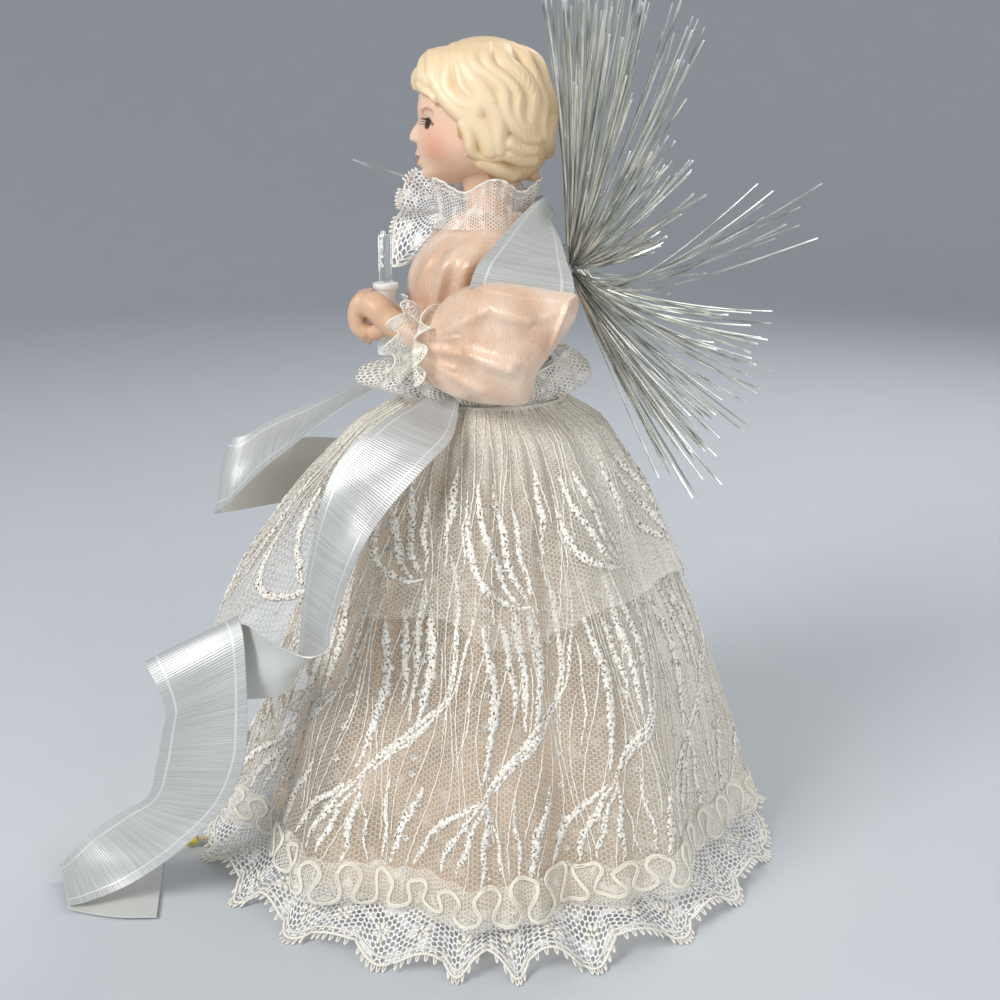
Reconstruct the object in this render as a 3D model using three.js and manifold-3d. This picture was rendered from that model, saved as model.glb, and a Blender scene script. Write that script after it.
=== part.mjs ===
// Fibre-optic angel tree topper, in millimetres
// The origin is the middle of the foot, +Z is up, -Y is the angel's front and +X is the angel's left
import * as THREE from "three";
import { mergeVertices } from "three/addons/utils/BufferGeometryUtils.js";
import Module from "manifold-3d";

const wasm = await Module();
wasm.setup();

// Fits and fineness
const FIT = 0.3;
const WELD = 1e-4;
const ROUND_SEGMENTS = 16;
const SCREW_SEGMENTS = 12;
const WHEEL_SEGMENTS = 24;
const CANDLE_SEGMENTS = 18;
const CUT_PAST = 1;
const CONE_SEGMENTS = 40;
const FULL_TURN = 2 * Math.PI;
const FRONT_ANGLE = -Math.PI / 2;

// Cone that the skirt is dressed on
const CONE_FOOT_RADIUS = 80;
const CONE_TOP_RADIUS = 24;
const CONE_HEIGHT = 168;
const CONE_WALL = 1.8;
const FOOT_RIM_WIDTH = 8;
const FOOT_RIM_THICKNESS = 2;

// Deck and the cup for the tip of the tree
const DECK_Z = 86;
const DECK_THICKNESS = 3;
const SOCKET_BORE_RADIUS = 14.5;
const SOCKET_WALL = 2.5;
const SOCKET_DEPTH = 43;
const SOCKET_FLANGE_RADIUS = 24;
const SOCKET_FLANGE_THICKNESS = 2.5;
const SOCKET_SCREW_SHANK = 1.5;
const SOCKET_SCREW_HEAD = 3;
const SOCKET_SCREW_HEAD_HEIGHT = 1.8;
const SOCKET_SCREW_REACH = 2.5;
const SOCKET_SCREW_OFFSET = 20.5;

// Colour wheel and motor
const MOTOR_X = -9;
const MOTOR_RADIUS = 8.5;
const MOTOR_HEIGHT = 14;
const MOTOR_BOSS_RADIUS = 3.5;
const MOTOR_BOSS_HEIGHT = 2;
const SHAFT_RADIUS = 1.5;
const SHAFT_SEAT = 7;
const WHEEL_RADIUS = 20;
const WHEEL_THICKNESS = 1.5;
const WHEEL_HUB_RADIUS = 4;
const WHEEL_HUB_HEIGHT = 7;
const WHEEL_HUB_LIFT = 8;
const WHEEL_DISC_LIFT = 4;
const SHAFT_END = 1;

// Lamp
const LAMP_X = 7;
const LAMP_HOLDER_RADIUS = 6.5;
const LAMP_HOLDER_HEIGHT = 8;
const LAMP_BASE_RADIUS = 3;
const LAMP_BASE_DEPTH = 5;
const LAMP_BULB_RADIUS = 5;
const LAMP_BULB_HEIGHT = 14;

// Ferrule over the wheel and its bracket
const FERRULE_X = 5.5;
const FERRULE_RADIUS = 5;
const FERRULE_FLANGE_RADIUS = 6.5;
const FERRULE_FLANGE_THICKNESS = 1.7;
const FERRULE_OVER_WHEEL = 4.2;
const FERRULE_BELOW = 7.3;
const FERRULE_ABOVE = 5;
const BRACKET_X = 17;
const BRACKET_THICKNESS = 2;
const BRACKET_FOOT = 10;
const BRACKET_HALF_WIDTH = 7.5;
const BRACKET_TIP = 9;
const BRACKET_SCREW_SHANK = 1.2;
const BRACKET_SCREW_HEAD = 2.4;
const BRACKET_SCREW_HEAD_HEIGHT = 1.6;

// Lead gland under the deck
const GLAND_FROM_EDGE = 15.2;
const GLAND_RADIUS = 5;
const GLAND_BORE_RADIUS = 1.5;
const GLAND_LENGTH = 8;

// Bundle of strands up the body and the boss at the back
const TRUNK_RADIUS = 3;
const TRUNK_SIDES = 8;
const TRUNK_STEPS = 10;
const TRUNK_RISE = 20;
const TRUNK_LEAD_IN = 18;
const TRUNK_AT_WAIST = 2;
const TRUNK_BEND_Y = 9;
const TRUNK_BEND_DROP = 20;
const TRUNK_TURN_Y = 18;
const TRUNK_TURN_DROP = 4;
const TRUNK_END_INSET = 1.5;
const TRUNK_END_DROP = 0.5;
const HUB_ABOVE_WAIST = 45;
const HUB_Y = 25;
const HUB_RADIUS = 8;
const HUB_THICKNESS = 3.4;
const DOME_RADIUS = 7;

// Strands: each quarter of the dome is a grid of cells, and one strand leaves each cell
const STRAND_RADIUS = 0.5;
const STRAND_ROOT_SHARE = 0.28;
const STRAND_LENGTH = 98;
const STRAND_LENGTH_SPREAD = 8;
const STRAND_BACK_SHARE = 0.15;
const STRAND_STEPS = 3;
const CELLS_AROUND = 6;
const UPPER_CELLS = 7;
const LOWER_CELLS = 5;
const LEAN_FROM = 10;
const UPPER_LEAN_TO = 90;
const LOWER_LEAN_TO = 64;
const UPPER_BEND = [-4, -3];
const LOWER_BEND = [3, 12];
const STRAND_SPREAD_STEPS = [2.4, 1.7];

// Torso: height above the waist, half width, half depth, and middle of the depth
const WAIST_SIDE_INSET = 0.5;
const WAIST_FRONT_INSET = 1;
const TORSO_ROWS = [
  [FIT, CONE_TOP_RADIUS - WAIST_SIDE_INSET, CONE_TOP_RADIUS - WAIST_FRONT_INSET, 0],
  [12, 21.5, 21, -0.5],
  [27, 23, 23, -1.5],
  [40, 25, 24.5, -2],
  [49, 24, 22.5, -1],
  [55, 20, 18.5, 0],
  [60, 14, 13.5, 1],
  [64, 11, 11, 1],
];
const TORSO_SIDES = 22;
const BODICE_THICKNESS = 1.2;
const BODICE_BOTTOM_ABOVE_WAIST = 1;
const BODICE_TOP_ABOVE_WAIST = 60;

// Shoulder bar and arm wires, whose heights are above the waist
const SHOULDER_Y = 4;
const BAR_RADIUS = 1;
const BAR_ABOVE_WAIST = 50.6;
const BAR_HALF_LENGTH = 29.2;
const WIRE_RADIUS = 1;
const WIRE_SIDES = 6;
const WIRE_STEPS = 9;
const LEFT_WIRE = [
  [38, 4, 48],
  [40, 8, 35],
  [39.5, 3, 22],
  [32, -12, 20],
  [24, -24, 23],
  [17, -31.5, 27],
];
const RIGHT_WIRE = [
  [-38, 4, 48],
  [-40, 8, 35],
  [-39.5, 3, 22],
  [-32, -12, 20],
  [-24, -24, 22],
  [-16.5, -31.5, 23.5],
];

// Sleeve: rings that turn about a crosswise line in front of the elbow
// Each row is the angle, the distance from that line, the half height, the middle X and the half width
const SLEEVE_PIVOT_Y = -16;
const SLEEVE_PIVOT_ABOVE_WAIST = 46;
const SLEEVE_SIDES = 14;
const SLEEVE_RINGS = [
  [22, 20, 3, 38, 3.5],
  [17, 21, 8, 38, 6.5],
  [8, 23.5, 13, 38.2, 8.6],
  [-6, 27, 17.5, 38.8, 10.3],
  [-28, 30, 20, 40.5, 12.3],
  [-52, 31, 20, 41, 12.8],
  [-74, 29.5, 16.5, 37.5, 11.3],
  [-92, 26.5, 12, 31, 9.3],
  [-104, 25.5, 8.5, 25.5, 7.5],
];

// Cuffs and hands, whose heights are above the waist
const CUFF_INNER_RADIUS = 4.4;
const CUFF_OUTER_RADIUS = 12;
const CUFF_THICKNESS = 0.8;
const CUFF_FORWARD = 2.5;
const CUFF_WAVES = 8;
const CUFF_WAVE_HEIGHT = 1;
const CUFF_SIDES = 24;
const CUFF_AT = [25.5, -25.8, 22.4];
const CUFF_AXIS = [-0.3, -0.95, 0.12];
const LEFT_HAND_AT = [12, -37, 28.4];
const RIGHT_HAND_AT = [-11.5, -37, 23.5];
const HAND_RADII = [8.5, 10, 10];
const HAND_SIDES = 12;
const HAND_ROWS = 8;
const WRIST_RADIUS = 3.6;

// Candle
const CANDLE_X = 11;
const CANDLE_Y = -35;
const CANDLE_RADIUS = 3.4;
const CANDLE_ABOVE_WAIST = 16;
const CANDLE_RIM_RADIUS = 4.4;
const CANDLE_LENGTH = 22.9;
const CANDLE_RIM_HEIGHT = 2.2;
const ROD_RADIUS = 2.3;
const ROD_SEAT = 9;
const ROD_SHOWS = 17.4;
const ROD_CHAMFER = 0.7;

// Head: middle, half sizes, and neck
const HEAD_ABOVE_WAIST = 97.5;
const HEAD_Y = -1;
const HEAD_HALF = [21, 23, 24.5];
const HEAD_SIDES = 24;
const HEAD_ROWS = 16;
const HAIR_LIFT = 1.4;
const HAIR_WAVE = 0.7;
const HAIR_WAVES = 11;
const HAIR_LINE_TOP = 0.35;
const HAIR_LINE_SIDE = -0.2;
const HAIR_EDGE = 0.25;
const NOSE_LIFT = 3.4;
const NOSE_AT = -0.3;
const NOSE_SPREAD = [0.012, 0.012];
const CHIN_LIFT = 2.2;
const CHIN_AT = -0.74;
const CHIN_SPREAD = [0.07, 0.03];
const JAW_NARROWING = 0.22;
const JAW_SPAN = [0.1, 0.9];
const NECK_RADIUS = 8.3;
const NECK_Y = 1;
const NECK_ABOVE_WAIST = 55.5;

// Collar
const COLLAR_ABOVE_WAIST = 64.9;
const COLLAR_RADIUS = 10.6;
const COLLAR_RISE = 10;
const COLLAR_SPREAD = 9.5;
const COLLAR_THICKNESS = 0.8;
const COLLAR_WAVES = 12;
const COLLAR_WAVE_HEIGHT = 1.3;
const COLLAR_SIDES = 48;
const COLLAR_ROWS = 2;
const FALL_LENGTH = 14;
const FALL_DROP = 13;
const FALL_HALF_ANGLE = 0.26;

// Skirts
const CLOTH_THICKNESS = 0.8;
const UNDERSKIRT_BOTTOM_Z = 5;
const UNDERSKIRT_BELOW_WAIST = 2;
const UNDERSKIRT_FOLDS = 8;
const UNDERSKIRT_FOLD_DEPTH = 6;
const UNDERSKIRT_SIDES = 40;
const UNDERSKIRT_ROWS = 2;
const OVERSKIRT_BELOW_WAIST = 0.5;
const OVERSKIRT_BOTTOM_Z = 13.7;
const OVERSKIRT_FOLDS = 9;
const OVERSKIRT_FOLD_DEPTH = 5;
const OVERSKIRT_SIDES = 54;
const OVERSKIRT_ROWS = 5;
const OVERSKIRT_STAND = [
  [0, 0],
  [0.06, 9],
  [0.2, 13],
  [0.5, 17],
  [0.8, 18],
  [1, 18],
];
const PEPLUM_ABOVE_WAIST = 0.4;
const PEPLUM_LENGTH = 64.4;
const PEPLUM_FRONT_DROP = 32;
const PEPLUM_GAP = 1.3;
const PEPLUM_STAND = 2;
const PEPLUM_FOLDS = 11;
const PEPLUM_FOLD_DEPTH = 2.5;
const PEPLUM_PUFF = 18;
const PEPLUM_PUFF_TURN = 0.62 * Math.PI;
const PEPLUM_PUFF_HALF_ANGLE = 0.6;
const PEPLUM_SIDES = 44;
const PEPLUM_ROWS = 4;
const RUFFLE_INNER_Z = 12.6;
const RUFFLE_OUTER_Z = 2.4;
const RUFFLE_WIDTH = 18;
const RUFFLE_WAVES = 20;
const RUFFLE_WAVE_HEIGHT = 1.2;
const RUFFLE_SIDES = 80;
const RUFFLE_ROWS = 1;
const BRAID_BOTTOM_Z = 15;
const BRAID_HEIGHT = 5;
const BRAID_THICKNESS = 1;

// Ribbon
const RIBBON_WIDTH = 25.4;
const RIBBON_THICKNESS = 0.6;
const SASH_BOTTOM_ABOVE_WAIST = 2.2;
const SASH_TOP_ABOVE_WAIST = 13;
// Each strap station is a point on the inner edge and one on the outer edge, above the waist
const STRAP_STATIONS = [
  [9.5, 26.3, 38, 23, 25.4, 44],
  [11, 25.3, 46, 31, 22.6, 50.5],
  [13, 19.3, 56.5, 36, 15, 56.6],
  [14.5, 8, 61.4, 39.5, 5, 57.8],
  [14.5, -5, 61.4, 39.5, -5, 57.6],
  [13, -17, 56.6, 35, -14, 55.4],
  [11, -25.4, 47, 29.5, -20, 49.5],
  [9, -27.6, 41, 24, -20, 43],
];
// Each tail station is a point on each edge, drawn for this height of the waist
const TAIL_DRAWN_FOR = 168;
const LEFT_STREAMER = [
  [21, -15.7, 174.4, 24.6, -9.1, 174.8],
  [28, -24, 170, 36, -10, 167],
  [38, -33, 167.5, 49, -12, 162],
  [45, -41, 162, 57, -20, 155],
  [49, -49, 154, 63, -31, 143.5],
  [53, -54, 143, 71, -38, 135],
  [58, -58, 126, 79, -44, 124],
  [63, -60, 112, 86, -48, 112],
  [66, -61, 102, 88, -49.5, 105],
  [67.5, -62, 90, 88, -55.5, 102],
  [66.5, -66.5, 81, 80.5, -65, 102],
  [62.5, -75, 76.5, 70, -73, 101.5],
  [55, -90.6, 73.3, 58, -79.8, 100.5],
  [53, -109.2, 78.7, 53, -83.1, 99.3],
  [59, -114.5, 88, 59, -82.7, 104.5],
  [66, -109.8, 83.1, 66, -80, 100.2],
  [67, -106.9, 73.4, 70, -79, 86.3],
  [66, -109.1, 64.5, 72, -79.1, 72.2],
  [64, -112.1, 52.7, 73, -80.6, 58.2],
  [60, -117.2, 38.4, 72, -88.4, 41.3],
  [54, -128.5, 28.8, 70, -104.8, 23.3],
  [50, -141.9, 17.7, 68, -123.6, 8.8],
  [51, -150, 9, 71, -138, 4],
  [50, -153.5, 4.6, 71.5, -144.5, 2.4],
  [51, -149, 1.6, 73, -138, 1],
  [53, -135, 1.2, 76, -126, 1],
  [51, -118, 1, 76, -113, 1],
];
const RIGHT_STREAMER = [
  [-12.6, -22.5, 175, -5.4, -25.3, 175],
  [-20, -35, 172, -5, -40, 169],
  [-23, -49, 166.5, -2, -56, 160],
  [-23, -66, 159.5, -1, -71, 148.5],
  [-21, -82, 153, -1, -84, 138],
  [-16, -92, 148, -2, -97, 125],
  [-21, -98, 147, -8, -103, 120],
  [-27, -92, 145, -14, -97, 119],
  [-34, -80, 143, -28, -83, 118],
  [-44, -69, 141, -41, -72, 116],
  [-55, -60, 138, -54, -63, 113],
];
const TAIL_STEPS_PER_STATION = 2;

// Cord end at the front hem
const CORD_RADIUS = 0.9;
const CORD_LENGTH = 9;
const CORD_Z = 3.4;
const CORD_ANGLE = -1.31;
const BINDING_RADIUS = 2.1;
const BINDING_LENGTH = 4;
const BINDING_AT = 3.5;

// A list of points and faces as a geometry whose faces point outwards
function outward(points, faces) {
  const flat = [];
  points.forEach((p) => flat.push(p.x, p.y, p.z));
  let volume = 0;
  for (let i = 0; i < faces.length; i += 3) {
    const [a, b, c] = [points[faces[i]], points[faces[i + 1]], points[faces[i + 2]]];
    volume += a.dot(b.clone().cross(c));
  }
  const turned = volume < 0 ? faces.slice().reverse() : faces;
  const geometry = new THREE.BufferGeometry();
  geometry.setAttribute("position", new THREE.Float32BufferAttribute(flat, 3));
  geometry.setIndex(turned);
  return geometry;
}

// A body through rings of points, capped at both ends, or joined from last ring to first
function ringBody(rings, joined = false) {
  const around = rings[0].length;
  const count = rings.length;
  const faces = [];
  const spans = joined ? count : count - 1;
  for (let i = 0; i < spans; i += 1) {
    const next = (i + 1) % count;
    for (let j = 0; j < around; j += 1) {
      const k = (j + 1) % around;
      const [a, b] = [i * around + j, i * around + k];
      const [c, d] = [next * around + k, next * around + j];
      faces.push(a, b, c, a, c, d);
    }
  }
  if (!joined) {
    const end = (count - 1) * around;
    for (let j = 1; j < around - 1; j += 1) {
      faces.push(0, j + 1, j, end, end + j, end + j + 1);
    }
  }
  return outward(rings.flat(), faces);
}

// A geometry as a solid that can be joined with others or cut by them
function solid(geometry) {
  const bare = geometry.index ? geometry.toNonIndexed() : geometry.clone();
  bare.deleteAttribute("normal");
  bare.deleteAttribute("uv");
  const merged = mergeVertices(bare, WELD);
  const points = merged.attributes.position.array;
  const index = merged.index.array;
  const triangles = [];
  for (let i = 0; i < index.length; i += 3) {
    const [a, b, c] = [index[i], index[i + 1], index[i + 2]];
    if (a !== b && b !== c && c !== a) triangles.push(a, b, c);
  }
  const made = new wasm.Manifold(
    new wasm.Mesh({ numProp: 3, vertProperties: points, triVerts: new Uint32Array(triangles) }),
  );
  if (made.volume() >= 0) return made;
  for (let i = 0; i < triangles.length; i += 3) {
    [triangles[i + 1], triangles[i + 2]] = [triangles[i + 2], triangles[i + 1]];
  }
  return new wasm.Manifold(
    new wasm.Mesh({ numProp: 3, vertProperties: points, triVerts: new Uint32Array(triangles) }),
  );
}

// A solid as a geometry
function geometryOf(made) {
  const mesh = made.getMesh();
  const geometry = new THREE.BufferGeometry();
  geometry.setAttribute("position", new THREE.Float32BufferAttribute(mesh.vertProperties, 3));
  geometry.setIndex(Array.from(mesh.triVerts));
  return geometry;
}

// A turned body from a profile of radius and height, round an upright line
function turned(profile, at = [0, 0, 0], segments = ROUND_SEGMENTS) {
  const points = profile.map(([radius, height]) => new THREE.Vector2(radius, height));
  const geometry = new THREE.LatheGeometry(points, segments);
  geometry.rotateX(Math.PI / 2);
  geometry.translate(...at);
  return solid(geometry);
}

// An upright round bar
function bar(radius, bottom, top, at) {
  return turned(
    [
      [0, bottom],
      [radius, bottom],
      [radius, top],
      [0, top],
    ],
    at,
  );
}

// A round bar swept along a list of points
function swept(path, radius, sides, steps) {
  const curve = new THREE.CatmullRomCurve3(path.map((p) => new THREE.Vector3(...p)));
  const circle = new THREE.Shape();
  for (let i = 0; i < sides; i += 1) {
    const angle = (FULL_TURN * i) / sides;
    const [x, y] = [radius * Math.cos(angle), radius * Math.sin(angle)];
    if (i === 0) circle.moveTo(x, y);
    else circle.lineTo(x, y);
  }
  circle.closePath();
  return solid(new THREE.ExtrudeGeometry(circle, { steps, extrudePath: curve, curveSegments: 1 }));
}

// A cloth of one thickness that goes all the way round, from a function of angle and share of its width
function clothRing(surface, sides, rows, thickness) {
  const at = (j, i) => surface((FULL_TURN * j) / sides, i / rows);
  const outer = [];
  const inner = [];
  for (let i = 0; i <= rows; i += 1) {
    const outerRow = [];
    const innerRow = [];
    for (let j = 0; j < sides; j += 1) {
      const along = at(j + 0.5, i).sub(at(j - 0.5, i));
      const down = at(j, Math.min(rows, i + 0.5)).sub(at(j, Math.max(0, i - 0.5)));
      const normal = along.cross(down).normalize();
      outerRow.push(at(j, i).addScaledVector(normal, thickness / 2));
      innerRow.push(at(j, i).addScaledVector(normal, -thickness / 2));
    }
    outer.push(outerRow);
    inner.unshift(innerRow);
  }
  return ringBody([...outer, ...inner], true);
}

// A ribbon of one thickness through pairs of edge points, with both faces split along the same diagonals
function ribbon(pairs) {
  const points = [];
  const faces = [];
  pairs.forEach(([a, b], i) => {
    const before = pairs[Math.max(0, i - 1)];
    const after = pairs[Math.min(pairs.length - 1, i + 1)];
    const middleBefore = before[0].clone().add(before[1]);
    const travel = after[0].clone().add(after[1]).sub(middleBefore);
    const normal = travel.cross(b.clone().sub(a)).normalize().multiplyScalar(RIBBON_THICKNESS / 2);
    points.push(a.clone().add(normal), b.clone().add(normal));
    points.push(b.clone().sub(normal), a.clone().sub(normal));
    if (i === 0) return;
    const [a1, b1, b2, a2] = [4 * i, 4 * i + 1, 4 * i + 2, 4 * i + 3];
    const [a3, b3, b4, a4] = [a1 - 4, b1 - 4, b2 - 4, a2 - 4];
    faces.push(a3, b3, b1, a3, b1, a1, b3, b4, b2, b3, b2, b1);
    faces.push(b4, a4, b2, a4, a2, b2, a4, a3, a1, a4, a1, a2);
  });
  const end = points.length - 4;
  faces.push(0, 2, 1, 0, 3, 2, end, end + 1, end + 2, end, end + 2, end + 3);
  return outward(points, faces);
}

// The radius at a height on a list of heights and radii, drawn with straight lines
function along(table, value, column) {
  const last = table.length - 1;
  if (value <= table[0][0]) return table[0][column];
  if (value >= table[last][0]) return table[last][column];
  const i = table.findIndex((row) => row[0] > value);
  const share = (value - table[i - 1][0]) / (table[i][0] - table[i - 1][0]);
  return table[i - 1][column] + share * (table[i][column] - table[i - 1][column]);
}

// How near an angle is to straight ahead, from 1 down to 0
function frontness(angle, halfAngle) {
  const off = Math.atan2(Math.sin(angle - FRONT_ANGLE), Math.cos(angle - FRONT_ANGLE));
  return Math.exp(-((off / halfAngle) ** 2));
}

// A point round the upright middle line
function polar(radius, angle, height) {
  return new THREE.Vector3(radius * Math.cos(angle), radius * Math.sin(angle), height);
}

// The cone's outside and inside radius at a height
const coneRadius = (z) => CONE_FOOT_RADIUS + ((CONE_TOP_RADIUS - CONE_FOOT_RADIUS) * z) / CONE_HEIGHT;
const coneInner = (z) => coneRadius(z) - CONE_WALL;

// Heights of the figure, all from the waist
const waist = CONE_HEIGHT;
const hubZ = waist + HUB_ABOVE_WAIST;
const barZ = waist + BAR_ABOVE_WAIST;
const headZ = waist + HEAD_ABOVE_WAIST;
const neckBottom = waist + NECK_ABOVE_WAIST;
const candleBottom = waist + CANDLE_ABOVE_WAIST;
const candleRim = candleBottom + CANDLE_LENGTH;
const torsoSections = TORSO_ROWS.map(([above, ...sizes]) => [waist + above, ...sizes]);
const bodiceBottom = waist + BODICE_BOTTOM_ABOVE_WAIST;
const bodiceTop = waist + BODICE_TOP_ABOVE_WAIST;
const aboveWaist = ([x, y, z]) => [x, y, waist + z];

const group = new THREE.Group();
group.name = "angel_tree_topper";

// Adds one named piece with its own colour, roughness and metalness
function add(name, made, color, roughness, metalness = 0) {
  const geometry = made.isBufferGeometry ? geometryOf(solid(made)) : geometryOf(made);
  geometry.computeVertexNormals();
  const mesh = new THREE.Mesh(
    geometry,
    new THREE.MeshStandardMaterial({ color, roughness, metalness }),
  );
  mesh.name = name;
  group.add(mesh);
}

// Cone
add(
  "cone_form",
  turned(
    [
      [CONE_FOOT_RADIUS, 0],
      [CONE_TOP_RADIUS, CONE_HEIGHT],
      [CONE_TOP_RADIUS - CONE_WALL, CONE_HEIGHT],
      [coneInner(FOOT_RIM_THICKNESS), FOOT_RIM_THICKNESS],
      [CONE_FOOT_RADIUS - FOOT_RIM_WIDTH, FOOT_RIM_THICKNESS],
      [CONE_FOOT_RADIUS - FOOT_RIM_WIDTH, 0],
      [CONE_FOOT_RADIUS, 0],
    ],
    [0, 0, 0],
    CONE_SEGMENTS,
  ),
  0xe6e2d8,
  0.8,
);

// Deck wedged in the cone, with holes for its screws and the lead
const deckTop = DECK_Z + DECK_THICKNESS;
const bracketScrewX = BRACKET_X + BRACKET_THICKNESS + BRACKET_FOOT / 2;
const deckRadius = coneInner(DECK_Z) - FIT;
const glandX = GLAND_FROM_EDGE - deckRadius;
const through = [DECK_Z - DECK_THICKNESS, deckTop + DECK_THICKNESS];
let deck = turned(
  [
    [0, DECK_Z],
    [deckRadius, DECK_Z],
    [coneInner(deckTop) - FIT, deckTop],
    [0, deckTop],
  ],
  [0, 0, 0],
  CONE_SEGMENTS,
);
const socketScrewHole = SOCKET_SCREW_SHANK + FIT;
[-SOCKET_SCREW_OFFSET, SOCKET_SCREW_OFFSET].forEach((y) => {
  deck = deck.subtract(bar(socketScrewHole, ...through, [0, y, 0]));
});
deck = deck.subtract(bar(BRACKET_SCREW_SHANK + FIT, ...through, [bracketScrewX, 0, 0]));
deck = deck.subtract(bar(GLAND_BORE_RADIUS, ...through, [glandX, 0, 0]));
add("lamp_deck", deck, 0xd9d6cd, 0.7);

// Cup for the tip of the tree
const flangeTop = DECK_Z - FIT;
const flangeBottom = flangeTop - SOCKET_FLANGE_THICKNESS;
const socketMouth = flangeBottom - SOCKET_DEPTH;
let socket = turned([
  [0, flangeTop],
  [SOCKET_FLANGE_RADIUS, flangeTop],
  [SOCKET_FLANGE_RADIUS, flangeBottom],
  [SOCKET_BORE_RADIUS + SOCKET_WALL, flangeBottom],
  [SOCKET_BORE_RADIUS + SOCKET_WALL, socketMouth],
  [SOCKET_BORE_RADIUS, socketMouth],
  [SOCKET_BORE_RADIUS, flangeBottom],
  [0, flangeBottom],
]);
[-SOCKET_SCREW_OFFSET, SOCKET_SCREW_OFFSET].forEach((y) => {
  socket = socket.subtract(bar(socketScrewHole, flangeBottom - CUT_PAST, flangeTop + CUT_PAST, [0, y, 0]));
});
add("tree_socket", socket, 0xdedbd2, 0.6);

// Screws up through the cup's flange into the deck
const socketScrew = [
  [0, flangeBottom - FIT - SOCKET_SCREW_HEAD_HEIGHT],
  [SOCKET_SCREW_HEAD, flangeBottom - FIT - SOCKET_SCREW_HEAD_HEIGHT],
  [SOCKET_SCREW_HEAD, flangeBottom - FIT],
  [SOCKET_SCREW_SHANK, flangeBottom - FIT],
  [SOCKET_SCREW_SHANK, deckTop + SOCKET_SCREW_REACH],
  [0, deckTop + SOCKET_SCREW_REACH],
];
const screwAt = (y) => turned(socketScrew, [0, y, 0], SCREW_SEGMENTS);
add("socket_screw_front", screwAt(-SOCKET_SCREW_OFFSET), 0xa9abad, 0.35, 0.9);
add("socket_screw_back", screwAt(SOCKET_SCREW_OFFSET), 0xa9abad, 0.35, 0.9);

// Motor with a blind bore for the shaft
const motorBottom = deckTop + FIT;
const motorTop = motorBottom + MOTOR_HEIGHT;
const bossTop = motorTop + MOTOR_BOSS_HEIGHT;
add(
  "motor",
  turned(
    [
      [0, motorBottom],
      [MOTOR_RADIUS, motorBottom],
      [MOTOR_RADIUS, motorTop],
      [MOTOR_BOSS_RADIUS, motorTop],
      [MOTOR_BOSS_RADIUS, bossTop],
      [SHAFT_RADIUS + FIT, bossTop],
      [SHAFT_RADIUS + FIT, bossTop - SHAFT_SEAT],
      [0, bossTop - SHAFT_SEAT],
    ],
    [MOTOR_X, 0, 0],
  ),
  0xb4b7ba,
  0.4,
  0.8,
);

// Shaft and colour wheel
const hubBottom = bossTop + WHEEL_HUB_LIFT;
const hubTop = hubBottom + WHEEL_HUB_HEIGHT;
const discBottom = hubBottom + WHEEL_DISC_LIFT;
add(
  "wheel_shaft",
  bar(SHAFT_RADIUS, bossTop - SHAFT_SEAT + FIT, hubTop + SHAFT_END, [MOTOR_X, 0, 0]),
  0xc3c6c8,
  0.3,
  0.9,
);
add(
  "color_wheel",
  turned(
    [
      [SHAFT_RADIUS + FIT, hubBottom],
      [WHEEL_HUB_RADIUS, hubBottom],
      [WHEEL_HUB_RADIUS, discBottom],
      [WHEEL_RADIUS, discBottom],
      [WHEEL_RADIUS, discBottom + WHEEL_THICKNESS],
      [WHEEL_HUB_RADIUS, discBottom + WHEEL_THICKNESS],
      [WHEEL_HUB_RADIUS, hubTop],
      [SHAFT_RADIUS + FIT, hubTop],
      [SHAFT_RADIUS + FIT, hubBottom],
    ],
    [MOTOR_X, 0, 0],
    WHEEL_SEGMENTS,
  ),
  0x4aa3d8,
  0.3,
);

// Lamp holder and lamp
const holderTop = motorBottom + LAMP_HOLDER_HEIGHT;
add(
  "lamp_holder",
  turned(
    [
      [0, motorBottom],
      [LAMP_HOLDER_RADIUS, motorBottom],
      [LAMP_HOLDER_RADIUS, holderTop],
      [LAMP_BASE_RADIUS + FIT, holderTop],
      [LAMP_BASE_RADIUS + FIT, holderTop - LAMP_BASE_DEPTH],
      [0, holderTop - LAMP_BASE_DEPTH],
    ],
    [LAMP_X, 0, 0],
  ),
  0xf0efe9,
  0.5,
);
const lampRings = 5;
const lampProfile = [
  [0, holderTop - LAMP_BASE_DEPTH + FIT],
  [LAMP_BASE_RADIUS, holderTop - LAMP_BASE_DEPTH + FIT],
  [LAMP_BASE_RADIUS, holderTop + FIT],
  [LAMP_BULB_RADIUS, holderTop + FIT + LAMP_BASE_RADIUS],
  [LAMP_BULB_RADIUS, holderTop + LAMP_BULB_HEIGHT - LAMP_BULB_RADIUS],
];
for (let i = 1; i <= lampRings; i += 1) {
  const angle = (Math.PI / 2) * (i / lampRings);
  const radius = i === lampRings ? 0 : LAMP_BULB_RADIUS * Math.cos(angle);
  const lift = LAMP_BULB_RADIUS * Math.sin(angle);
  lampProfile.push([radius, holderTop + LAMP_BULB_HEIGHT - LAMP_BULB_RADIUS + lift]);
}
add("lamp", turned(lampProfile, [LAMP_X, 0, 0]), 0xf4f1dc, 0.1);

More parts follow.
